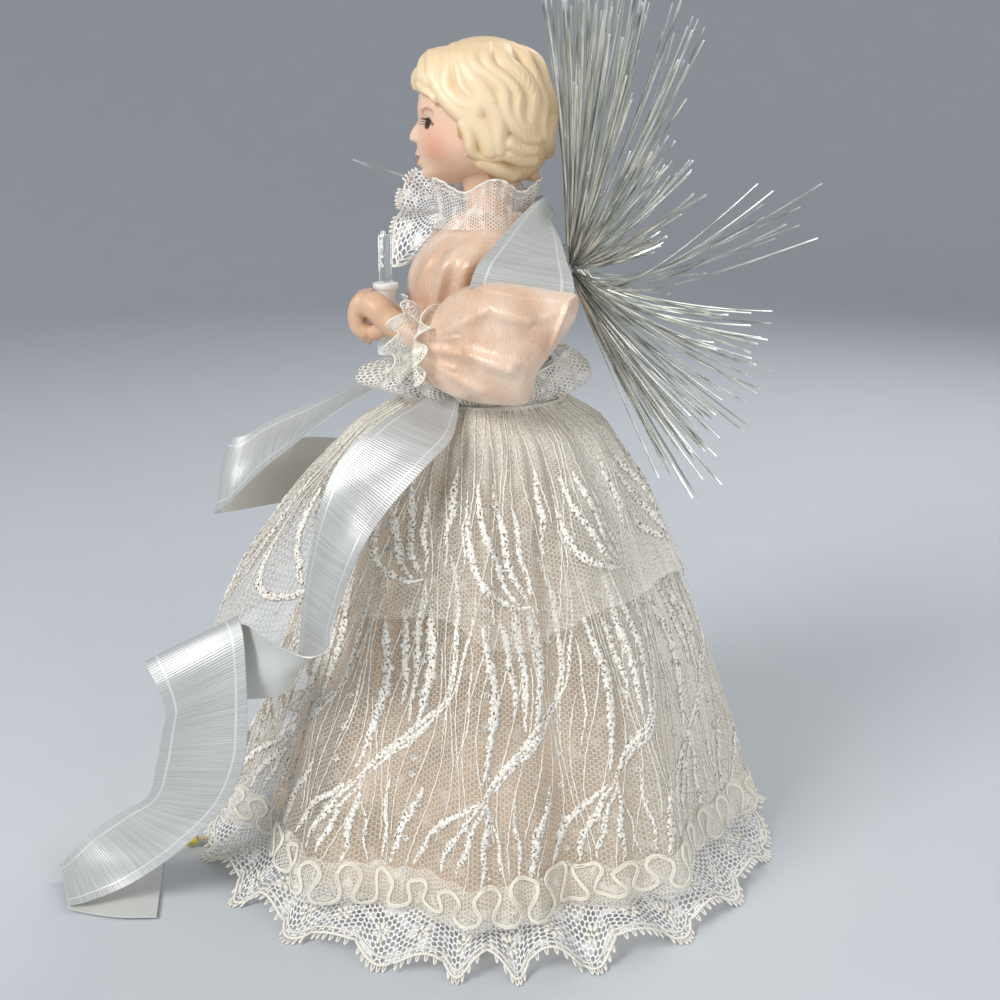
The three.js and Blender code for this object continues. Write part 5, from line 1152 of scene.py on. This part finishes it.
# Streaks of tone 0.8 mm wide that run the whole way across
drawn_out = {0: ribbon_map, 1: (0.03, 1.3, 0.0)}
drawn_out = add(ribbon_tree, "ShaderNodeVectorMath", drawn_out, operation="MULTIPLY").outputs[0]
streak = add(ribbon_tree, "ShaderNodeTexNoise", {"Vector": drawn_out, "Scale": 1.0, "Detail": 3.0})
face_tone = add(ribbon_tree, "ShaderNodeMapRange", {0: streak.outputs[0], 1: 0.3, 2: 0.7})
face_colors = {0: face_tone.outputs[0], 6: linear("B6B7B5"), 7: linear("CBCCCA")}
face_color = add(ribbon_tree, "ShaderNodeMix", face_colors, data_type="RGBA").outputs[2]
from_edge = add(ribbon_tree, "ShaderNodeMath", {0: across_mm, 1: RIBBON_WIDTH / 2}, operation="SUBTRACT")
from_middle = add(ribbon_tree, "ShaderNodeMath", {0: from_edge.outputs[0]}, operation="ABSOLUTE")
to_wire = {0: from_middle.outputs[0], 1: RIBBON_WIDTH / 2 - WIRE_FROM_EDGE}
off_wire = add(ribbon_tree, "ShaderNodeMath", to_wire, operation="SUBTRACT")
near_wire = add(ribbon_tree, "ShaderNodeMath", {0: off_wire.outputs[0]}, operation="ABSOLUTE")
wire_line = add(ribbon_tree, "ShaderNodeMapRange", {0: near_wire.outputs[0], 1: 0.45, 2: 0.15}).outputs[0]
wire_colors = {0: wire_line, 6: face_color, 7: linear("DCDDDB")}
wired = add(ribbon_tree, "ShaderNodeMix", wire_colors, data_type="RGBA").outputs[2]
two_sided = add(ribbon_tree, "ShaderNodeMix", {0: behind, 6: wired, 7: linear("DFE0DB")}, data_type="RGBA")
ribbon_tree.links.new(two_sided.outputs[2], ribbon_sockets["Base Color"])
rib_height = add(ribbon_tree, "ShaderNodeMath", {0: rib, 1: 0.5, 2: 0.5}, operation="MULTIPLY_ADD").outputs[0]
raised = add(ribbon_tree, "ShaderNodeMath", {0: rib_height, 1: wire_line}, operation="MAXIMUM").outputs[0]
rib_bump = add(ribbon_tree, "ShaderNodeBump", {"Height": raised, "Distance": 0.00009, "Strength": 0.6})
ribbon_tree.links.new(rib_bump.outputs["Normal"], ribbon_sockets["Normal"])

# Edge pairs along each piece of ribbon: one edge's x, y and z, then the other's
STRAP_STATIONS = np.array(
    [
        [5, 19.5, 237.5, 3, 24, 231],
        [13.5, 15.5, 235.5, 13, 22, 229.5],
        [23, 9.5, 230.5, 22, 24.5, 224],
        [32.6, 2, 223, 30.6, 26.5, 217],
        [39.6, -3, 217.8, 38.6, 28, 212.3],
        [40.5, -5.5, 211, 39, 28, 206.5],
        [37, -5, 205, 36, 26, 202],
    ]
)
LEFT_TAIL = [
    [21, -15.7, 174.4, 24.6, -9.1, 174.8],
    [28, -24, 170, 36, -10, 167],
    [38, -33, 167.5, 49, -12, 162],
    [45, -41, 162, 57, -20, 155],
    [49, -49, 154, 63, -31, 143.5],
    [53, -54, 143, 71, -38, 135],
    [58, -58, 126, 79, -44, 124],
    [63, -60, 112, 86, -48, 112],
    [66, -61, 102, 88, -49.5, 105],
    [67.5, -62, 90, 88, -55.5, 102],
    [66.5, -66.5, 81, 80.5, -65, 102],
    [62.5, -75, 76.5, 70, -73, 101.5],
    [55, -90.6, 73.3, 58, -79.8, 100.5],
    [53, -109.2, 78.7, 53, -83.1, 99.3],
    [59, -114.5, 88, 59, -82.7, 104.5],
    [66, -109.8, 83.1, 66, -80, 100.2],
    [67, -106.9, 73.4, 70, -79, 86.3],
    [66, -109.1, 64.5, 72, -79.1, 72.2],
    [64, -112.1, 52.7, 73, -80.6, 58.2],
    [60, -117.2, 38.4, 72, -88.4, 41.3],
    [54, -128.5, 28.8, 70, -104.8, 23.3],
    [50, -141.9, 17.7, 68, -123.6, 8.8],
    [51, -150, 9, 71, -138, 4],
    [50, -153.5, 4.6, 71.5, -144.5, 2.4],
    [50, -149, 1.6, 73, -139, 1],
    [46, -136, 1.2, 76, -126, 1],
    [40, -119, 1, 76, -113, 1],
]
RIGHT_TAIL = [
    [-12.6, -22.5, 175, -5.4, -25.3, 175],
    [-20, -35, 172, -5, -40, 169],
    [-23, -49, 166.5, -2, -56, 160],
    [-23, -66, 159.5, -1, -71, 148.5],
    [-21, -82, 153, -1, -84, 138],
    [-16, -92, 148, -2, -97, 125],
    [-21, -98, 147, -8, -103, 120],
    [-27, -92, 145, -14, -97, 119],
    [-34, -80, 143, -28, -83, 118],
    [-44, -69, 141, -41, -72, 116],
    [-55, -60, 138, -54, -63, 113],
]


def ribbon_piece(name, stations, steps, node, crease=0.35):
    """A ribbon between two smooth edges, with slight buckles across it, a face and a back that meet at its
    rims. The face lies on the side of travel crossed with the way from the first edge to the second."""
    edges = spline(stations, steps)
    first, second = edges[:, None, :3], edges[:, None, 3:]
    t = np.linspace(0, 1, RIBBON_ACROSS)[None, :, None]
    middle = first + (second - first) * t
    travel = np.gradient(middle, axis=0)
    out = unit(np.cross(travel, second - first))
    walked = np.cumsum(np.linalg.norm(np.diff(middle, axis=0, prepend=middle[:1]), axis=-1), 0)
    buckle = 0.7 * np.sin(walked / 5.1 + 2.2 * np.sin(3 * t[..., 0]))
    buckle = crease * (buckle + 2.2 * np.sin(walked / 13 + 4 * t[..., 0])) * np.sin(np.pi * t[..., 0])
    middle = middle + out * (buckle * smooth(3, 14, middle[..., 2]))[..., None]
    half = out * RIBBON_THICKNESS / 2
    around = np.concatenate([(middle + half)[:, ::-1], middle - half], 1)
    across = np.concatenate([t[0, ::-1, 0], BACK_MARK / RIBBON_WIDTH + t[0, :, 0], [1]]) * RIBBON_WIDTH
    along = np.broadcast_to(walked.mean(1, keepdims=True), (steps, len(across)))
    uv = np.stack([np.broadcast_to(across, along.shape), along], -1)
    around[..., 2] = np.maximum(around[..., 2], 0.4)
    made = loft(name, around, ribbon, wrap=True, caps=True, uv=uv, sharp=1.1)
    fit(made, node)


for strap_side, strap_sign in (("left", 1), ("right", -1)):
    ribbon_piece(
        f"{strap_side}_ribbon_strap",
        STRAP_STATIONS * [strap_sign, 1, 1, strap_sign, 1, 1],
        90,
        f"{strap_side}_strap",
        crease=0.1,
    )
ribbon_piece("left_ribbon_tail", LEFT_TAIL, 300, "left_streamer")
ribbon_piece("right_ribbon_tail", RIGHT_TAIL, 140, "right_streamer")

SASH_FROM, SASH_TO, SASH_GAP = 170.2, 181.0, 3.0
SASH_CLOTH_WIDTH, SASH_RADIUS = 11, 26
sash_angle = np.linspace(0, 2 * np.pi, 181)[:, None]
sash_rise = np.linspace(0, 1, 9)[None]
sash_height = SASH_FROM + (SASH_TO - SASH_FROM) * sash_rise
sash_buckle = 0.3 * np.sin(17 * sash_angle) * np.sin(np.pi * sash_rise)
sash_face = torso_point(sash_angle, sash_height, SASH_GAP + sash_buckle)
sash_uv = np.stack(np.broadcast_arrays(sash_rise * SASH_CLOTH_WIDTH, sash_angle * SASH_RADIUS), -1)
sash_rows, sash_map = np.swapaxes(sash_face[:-1], 0, 1), np.swapaxes(sash_uv, 0, 1)
sash = loft("ribbon_sash", sash_rows, ribbon, wrap=True, uv=sash_map)
solidify(sash, RIBBON_THICKNESS)
fit(sash, "waist_sash")

# Collar: a strip of the hem lace gathered round the neck, standing up in waves, and a fan of it in front.
# The same white cotton lace, its corded edge outwards, with picots on the fan, sewn to the bodice's top.
COLLAR_FOOT, COLLAR_HEIGHT = 227.0, 14.5
COLLAR_FOOT_RADIUS, COLLAR_TOP_RADIUS = 17.6, 18.4
COLLAR_WAVES = 5
COLLAR_FORWARD = -0.5


def collar_point(angle, share):
    """Stands up from the shoulders round the neck in five waves that grow towards the edge."""
    wave = share * np.cos(COLLAR_WAVES * angle - 0.9)
    ripple = 0.4 * share * np.cos(33 * angle)
    waist = -1.8 * np.sin(np.pi * np.clip(share, 0, 1))
    radius = COLLAR_FOOT_RADIUS + share * (COLLAR_TOP_RADIUS - COLLAR_FOOT_RADIUS)
    height = COLLAR_FOOT + COLLAR_HEIGHT * share + 2.2 * wave
    return round_z(radius + waist + 1.3 * wave + ripple, angle, height) + [0, COLLAR_FORWARD, 0]


# Cotton lace again, finer and closer at the neck and opener in the fan
collar_net = net_material("white cotton collar lace", "F8F5EE", 1.2, -0.7, 0.75, filling=0.6)
collar = cloth_ring("lace_collar", collar_point, 24, collar_net, 320, 20.0, 16.0, rising=True)
fit(collar, "collar")
collar_line = np.linspace(0, 2 * np.pi, 401)
collar_cords = edge_cords("collar_cords", collar_point, collar_line, [0.99, 0.82], [0.42, 0.25])

fan_net = net_material("white cotton fan lace", "FAF8F2", 1.7, -0.65, 0.9, filling=0.75)
FAN_MIDDLE = np.array([0.0, -14.0, 232.0])
FAN_FROM, FAN_TO = -1.5, 1.05
FAN_COLUMNS = 140
# How far the fan's edge is from its middle, by turn from straight ahead
FAN_TURNS = [-1.71, -1.08, -0.77, -0.63, -0.35, 0.07, 0.59, 1.05]
FAN_REACH = [7.5, 15.5, 26.0, 24.5, 19.5, 15.2, 17.0, 16.0]


def fan_point(turn, share):
    """A fan in the upright plane of the nose, longest down and forwards: the cloth swings from side to side
    in flutes that widen towards its edge."""
    reach = 2.0 + share * (np.interp(turn, FAN_TURNS, FAN_REACH) - 2.0 + 0.8 * np.abs(np.sin(6 * turn)))
    flute = share * (3.6 * np.sin(5.2 * turn) + 1.0 * np.sin(13 * turn))
    return FAN_MIDDLE + np.stack([flute, -reach * np.cos(turn), reach * np.sin(turn)], -1)


fan_turn, fan_share = np.meshgrid(np.linspace(FAN_FROM, FAN_TO, FAN_COLUMNS), np.linspace(0, 1, 20))
fan_uv = np.stack([fan_turn * 16, fan_share * 18], -1)
fan = loft("lace_collar_fan", fan_point(fan_turn, fan_share), fan_net, uv=fan_uv)
fit(fan, "collar")
fan_line = np.linspace(FAN_FROM + 0.01, FAN_TO - 0.01, 160)
fan_cords = edge_cords("fan_cords", fan_point, fan_line, [0.985, 0.86, 0.62], [0.45, 0.3, 0.3])
fan_picot_turn = np.linspace(-0.75, FAN_TO - 0.05, 26)
fan_picot_turn = fan_picot_turn[np.abs(np.sin(6 * fan_picot_turn)) > 0.35]
fan_picots = picots("fan_picots", fan_point, fan_picot_turn, 1.9, 0.4)

# Arms: puffed satin sleeves stuffed with wadding over a bent wire, lace frills at the wrists, bisque hands.
# Each arm turns a little at the shoulder bar; the left hand holds the candle.
SLEEVE_MIDDLE = np.array([6.0, 194.0])
SLEEVE_WRIST_X, SLEEVE_ELBOW_X, SLEEVE_HALF_THICK = 26.5, 41.0, 8
# Outline from the side, forward or back place and height, from the shoulder's front round over the elbow
SLEEVE_OUTLINE = [
    (-1, 212.5),
    (6, 212.2),
    (14, 211),
    (22, 209.6),
    (29.3, 208),
    (28.3, 200),
    (22.8, 192),
    (16.6, 183),
    (13.2, 173),
    (2.3, 172),
    (-5.6, 172.4),
    (-12.5, 173.8),
    (-19.5, 178),
    (-24, 187),
    (-21, 196.8),
    (-15.5, 204.3),
    (-8.8, 209.4),
]
# Folds on the outside: ends, height and half width
SLEEVE_FOLDS = [
    (26.6, 207.6, 14.6, 176.0, 2.4, 1.0),
    (-22, 193, -10, 195, 1.0, 1.0),
    (-22, 186, -11, 184.5, 1.0, 1.0),
    (-20, 181, -9, 180.5, 0.9, 0.9),
    (-16, 196, 1, 205.5, 2.0, 2.4),
    (1, 205.5, 13, 202, 2.2, 3.2),
    (-19, 190, -6, 189.5, 1.6, 1.6),
    (-6, 189.5, 7, 186, 2.6, 2.6),
    (-19, 185, -2, 177.5, 1.4, 2.0),
    (13, 202, 20, 190, 1.0, 2.2),
    (24, 207.5, -2, 211.0, 0.9, 0.7),
]
SLEEVE_RINGS, SLEEVE_COLUMNS = 44, 200


def sleeve_points(sign):
    """Two cushion-shaped faces that meet at the outline: each stands off the middle by the root of one less a
    power of the share of the way out, and the outer one has folds along straight lines."""
    outline = spline([*SLEEVE_OUTLINE, SLEEVE_OUTLINE[0]], SLEEVE_COLUMNS + 1)[:-1]
    share = np.sin(np.linspace(0.01, np.pi - 0.01, 2 * SLEEVE_RINGS))[:, None]
    place = SLEEVE_MIDDLE + share[..., None] * (outline - SLEEVE_MIDDLE)
    y, z = place[..., 0], place[..., 1]
    outer = np.arange(2 * SLEEVE_RINGS)[:, None] < SLEEVE_RINGS
    middle = SLEEVE_WRIST_X + (SLEEVE_ELBOW_X - SLEEVE_WRIST_X) * smooth(-34, 14, y)
    fuller = np.where(outer, 3.6 * np.exp(-((y / 17) ** 2)), 4 * smooth(-23, 0, y))
    thick = SLEEVE_HALF_THICK + fuller
    stand = thick * np.sqrt(np.maximum(1 - share**3, 0))
    fold = np.zeros_like(y)
    for y0, z0, y1, z1, height, width in SLEEVE_FOLDS:
        along = np.array([y1 - y0, z1 - z0])
        t = np.clip(((y - y0) * along[0] + (z - z0) * along[1]) / (along @ along), 0, 1)
        gap = np.hypot(y - y0 - t * along[0], z - z0 - t * along[1])
        fold = np.maximum(fold, height * np.exp(-((gap / width) ** 2)))
    fold *= np.where(outer, 1 - share**10, 0)
    x = middle + np.where(outer, stand + fold, -stand)
    return np.stack([sign * x, y, z], -1)


def sleeve(side, sign):
    """One stuffed sleeve."""
    points = sleeve_points(sign)[:, ::sign]
    ends = points[[0, -1]].mean(1)
    faces = capped_faces(2 * SLEEVE_RINGS, SLEEVE_COLUMNS)
    made = show(f"{side}_satin_sleeve", np.vstack([points.reshape(-1, 3), ends]), faces, satin)
    fit(made, f"{side}_sleeve", f"{side}_arm")


# Cotton lace at the wrists: drawn up so closely that it looks nearly solid
cuff_net = net_material("white cotton cuff lace", "F8F4EA", 1.3, -0.4, 0.9, filling=0.9)
CUFF_MIDDLE = np.array([26.5, -23.4, 189.6])
CUFF_AXIS = np.array([-0.3, -0.95, 0.12])
CUFF_INNER, CUFF_FLARE, CUFF_HALF_WIDTH, CUFF_WAVES = 5.3, 8.7, 5.6, 8


def cuff(side, sign):
    """A strip gathered along its middle: flares out from that line towards the hand and back over the
    sleeve, in flutes that deepen towards both of its edges."""
    mirror = np.array([sign, 1, 1])
    axis = unit(CUFF_AXIS * mirror)
    across = unit(np.cross(axis, [0, 0, 1]))
    up = np.cross(across, axis)

    def point(angle, share):
        """On a ring about the wrist, at the flared radius and as far along it as the share says."""
        side_share = 2 * share - 1
        spread = np.abs(side_share)
        phase = CUFF_WAVES * angle + 1.2 * np.sin(2 * angle) + 0.8 * np.sin(5 * angle) + 1.4 * side_share
        flare = CUFF_FLARE * spread**0.8 * (0.9 + 0.1 * np.cos(3 * angle))
        radius = CUFF_INNER + flare + 1.7 * spread * np.cos(phase)
        ahead = CUFF_HALF_WIDTH * side_share + 2.2 * spread * np.sin(phase)
        swept = angle + 0.06 * spread * np.sin(phase + 0.6)
        ring = np.cos(swept)[..., None] * across + np.sin(swept)[..., None] * up
        return CUFF_MIDDLE * mirror + ahead[..., None] * axis + radius[..., None] * ring

    made = cloth_ring(f"{side}_lace_cuff", point, 25, cuff_net, columns=320, scale=20.0, length=20.0)
    fit(made, f"{side}_cuff", f"{side}_arm")
    cords = edge_cords(
        f"{side}_cuff_cords",
        point,
        np.linspace(0, 2 * np.pi, 361),
        [0.01, 0.14, 0.86, 0.99],
        [0.36, 0.2, 0.2, 0.36],
        body=f"{side}_arm",
    )


LEFT_HAND = np.array([12.0, -37.0, 196.4])
RIGHT_HAND = np.array([-11.5, -37.0, 191.5])
FINGER_RADIUS, FINGER_STEPS = 3.0, 14
FINGER_CURL = np.array(
    [
        [0, -2.5, 7.2],
        [-0.4, -6.6, 6.4],
        [-0.8, -8.2, 2.2],
        [-0.8, -7.4, -2.4],
        [-0.4, -4.2, -4.6],
    ]
)
# Hand skin: painted a little darker than the head's skin, as painted shade
hand_skin_in_painted_shade = np.array(linear("D6AF8F")[:3])


def hand(side, sign, middle):
    """A closed fist seen from its thumb side: a wrist and palm that run up beside the candle, four fingers
    that curl down in front of it and a thumb below them, run together into one smooth casting."""
    flip = np.array([sign, 1, 1])
    wrist_end = (CUFF_MIDDLE - 7 * CUFF_AXIS) * flip - middle
    palm = [wrist_end, flip * [7.5, 4.5, 0], flip * [6, 0, 4], flip * [3, -3.5, 6]]
    curls = [spline(FINGER_CURL + [reach, 0, 0], FINGER_STEPS) for reach in (3.6, 0.6, -2.4, -5.4)]
    thumb_line = [flip * [7, 3, -1], flip * [4.6, -0.5, -3.5], flip * [2.5, -4.5, -5.2]]
    shapes = [
        (middle + flip * np.stack(curls), FINGER_RADIUS),
        (middle + spline(palm, FINGER_STEPS)[None], np.linspace(4.6, 5.0, FINGER_STEPS)),
        (middle + spline(thumb_line, FINGER_STEPS)[None], np.linspace(3.4, 2.4, FINGER_STEPS)),
    ]
    rings = np.concatenate([tubes(paths, radius, 12) for paths, radius in shapes])
    made = loft(f"{side}_bisque_hand", rings, bisque, wrap=True, caps=True)
    fuse = made.modifiers.new("fuse", "REMESH")
    fuse.mode = "VOXEL"
    fuse.voxel_size = 0.5 * MM
    fuse.use_smooth_shade = True
    soften = made.modifiers.new("soften", "SMOOTH")
    soften.factor = 0.5
    soften.iterations = 9
    graph = bpy.context.evaluated_depsgraph_get()
    cast = bpy.data.meshes.new_from_object(made.evaluated_get(graph))
    made.modifiers.clear()
    made.data = cast
    cast.materials.clear()
    cast.materials.append(bisque)
    cast.shade_smooth()
    paint_points(made, hand_skin_in_painted_shade)
    fit(made, f"{side}_hand", f"{side}_arm")


for arm_side, arm_sign, arm_hand in (("left", 1, LEFT_HAND), ("right", -1, RIGHT_HAND)):
    sleeve(arm_side, arm_sign)
    cuff(arm_side, arm_sign)
    hand(arm_side, arm_sign, arm_hand)

# Candle: a white plastic stick with a rolled rim, and a clear acrylic rod in it that stands for the flame.
# Both are turned; the candle is glued through the left fist and the rod is pressed into its top.
CANDLE_AT = [11.0, -35.0, 0.0]
CANDLE_PROFILE = [
    [0, 184],
    [3.0, 184],
    [3.4, 184.6],
    [3.4, 206],
    [3.9, 206.6],
    [4.5, 207.4],
    [4.4, 208.7],
    [3.4, 209.1],
    [2.6, 208.8],
]
ROD_PROFILE = [[0, 200], [2.3, 200], [2.3, 224.6], [1.4, 226.5], [0, 226.5]]


def turned(name, profile, material, sides, sharp, node):
    """A profile of radius and height turned round the candle's middle line."""
    profile = np.array(profile, float)
    turn = np.linspace(0, 2 * np.pi, sides, endpoint=False)
    radius = np.maximum(profile[:, :1], 0.02)
    points = round_z(radius, turn, profile[:, 1:]) + CANDLE_AT
    made = loft(name, points, material, wrap=True, caps=True, sharp=sharp)
    fit(made, node, "left_arm")


# Moulded plastic: smooth white with a soft gloss. Cast acrylic: clear, with bright edges at its facets
candle_white = clouded("white moulded plastic candle", "EFF0EB", "E2E3DD", 0.38, 5, 0.05)
clear = clouded("clear acrylic rod", "F2F5F5", "E9EEEE", 0.05, 6, 0.01, Transmission_Weight=0.92, IOR=1.49)
turned("candle_stick", CANDLE_PROFILE, candle_white, 40, 0.9, "candle")
turned("clear_flame_rod", ROD_PROFILE, clear, 8, 0.3, "candle_rod")

# Cord end: the tail of the hem's gathering cord, which comes out at the front with its end bound.
# Twisted cotton, bound with yellow thread so that it doesn't fray.
# Twisted cotton is matt and mottled by its strands, and the binding thread is bright yellow without gloss
cord_cotton = clouded("twisted cotton", "DCCBA4", "BFAA80", 0.85, 0.7, 0.25)
yellow_thread = clouded("yellow binding thread", "E6D628", "C9B71C", 0.6, 0.6, 0.2)
dress(cord_cotton, "cord_cotton", "hem_cord_end")
dress(yellow_thread, "binding_thread", "hem_cord_binding")

# Studio: a plain pale floor that rises behind, soft light from the camera's left and above, and the camera.
# The camera stands at the figure's left side, a little above its middle, as the photographer did.
# Paper: matt and even, so that only the shadow shows on it
floor_material = clouded("pale grey paper", "C6CACE", "C1C5CA", 0.9, 40, 0.02)
FLOOR_BEND_FROM, FLOOR_BEND_RADIUS, FLOOR_TOP = 1500, 1000, 2600
floor_bend = np.linspace(0, np.pi / 2, 24)[:, None]
floor_out = FLOOR_BEND_FROM + FLOOR_BEND_RADIUS * np.sin(floor_bend)
floor_up = FLOOR_BEND_RADIUS - FLOOR_BEND_RADIUS * np.cos(floor_bend)
floor_edge = FLOOR_BEND_FROM + FLOOR_BEND_RADIUS
floor_line = np.vstack([[[0.01, 0], [700, 0]], np.hstack([floor_out, floor_up]), [[floor_edge, FLOOR_TOP]]])
floor_turn = np.linspace(0, 2 * np.pi, 96, endpoint=False)[None]
floor_points = round_z(floor_line[:, :1], floor_turn, floor_line[:, 1:])
loft("floor", floor_points, floor_material, wrap=True)


def lamp(name, place, size, watts):
    """A square soft lamp that faces the figure's middle."""
    light = bpy.data.lights.new(name, "AREA")
    light.size = size
    light.energy = watts
    made = bpy.data.objects.new(name, light)
    bpy.context.scene.collection.objects.link(made)
    ahead = np.array([0, 0, 0.16]) - np.array(place)
    made.location = place
    tilt = np.arctan2(np.hypot(*ahead[:2]), -ahead[2])
    made.rotation_euler = (tilt, 0, np.arctan2(ahead[1], ahead[0]) - np.pi / 2)


lamp("key_lamp", (0.75, -0.85, 0.9), 0.6, 14)
lamp("fill_lamp", (0.9, 0.7, 0.5), 0.9, 5)
lamp("back_lamp", (-0.7, 0.5, 0.9), 0.6, 5)
world = bpy.data.worlds.new("soft room")
world.use_nodes = True
world.node_tree.nodes["Background"].inputs["Color"].default_value = linear("E4E7EA")
world.node_tree.nodes["Background"].inputs["Strength"].default_value = 0.6
bpy.context.scene.world = world
bpy.context.scene.view_settings.view_transform = "Standard"

camera_data = bpy.data.cameras.new("camera")
camera_data.sensor_width = 36.0
camera_data.lens = 46.8
camera_data.shift_x = 0.013
camera_data.clip_start = 0.01
camera = bpy.data.objects.new("camera", camera_data)
camera.location = (0.463, 0.0, 0.262)
camera.rotation_euler = (np.radians(90 - 16.2), 0, np.radians(90))
bpy.context.scene.collection.objects.link(camera)
bpy.context.scene.camera = camera
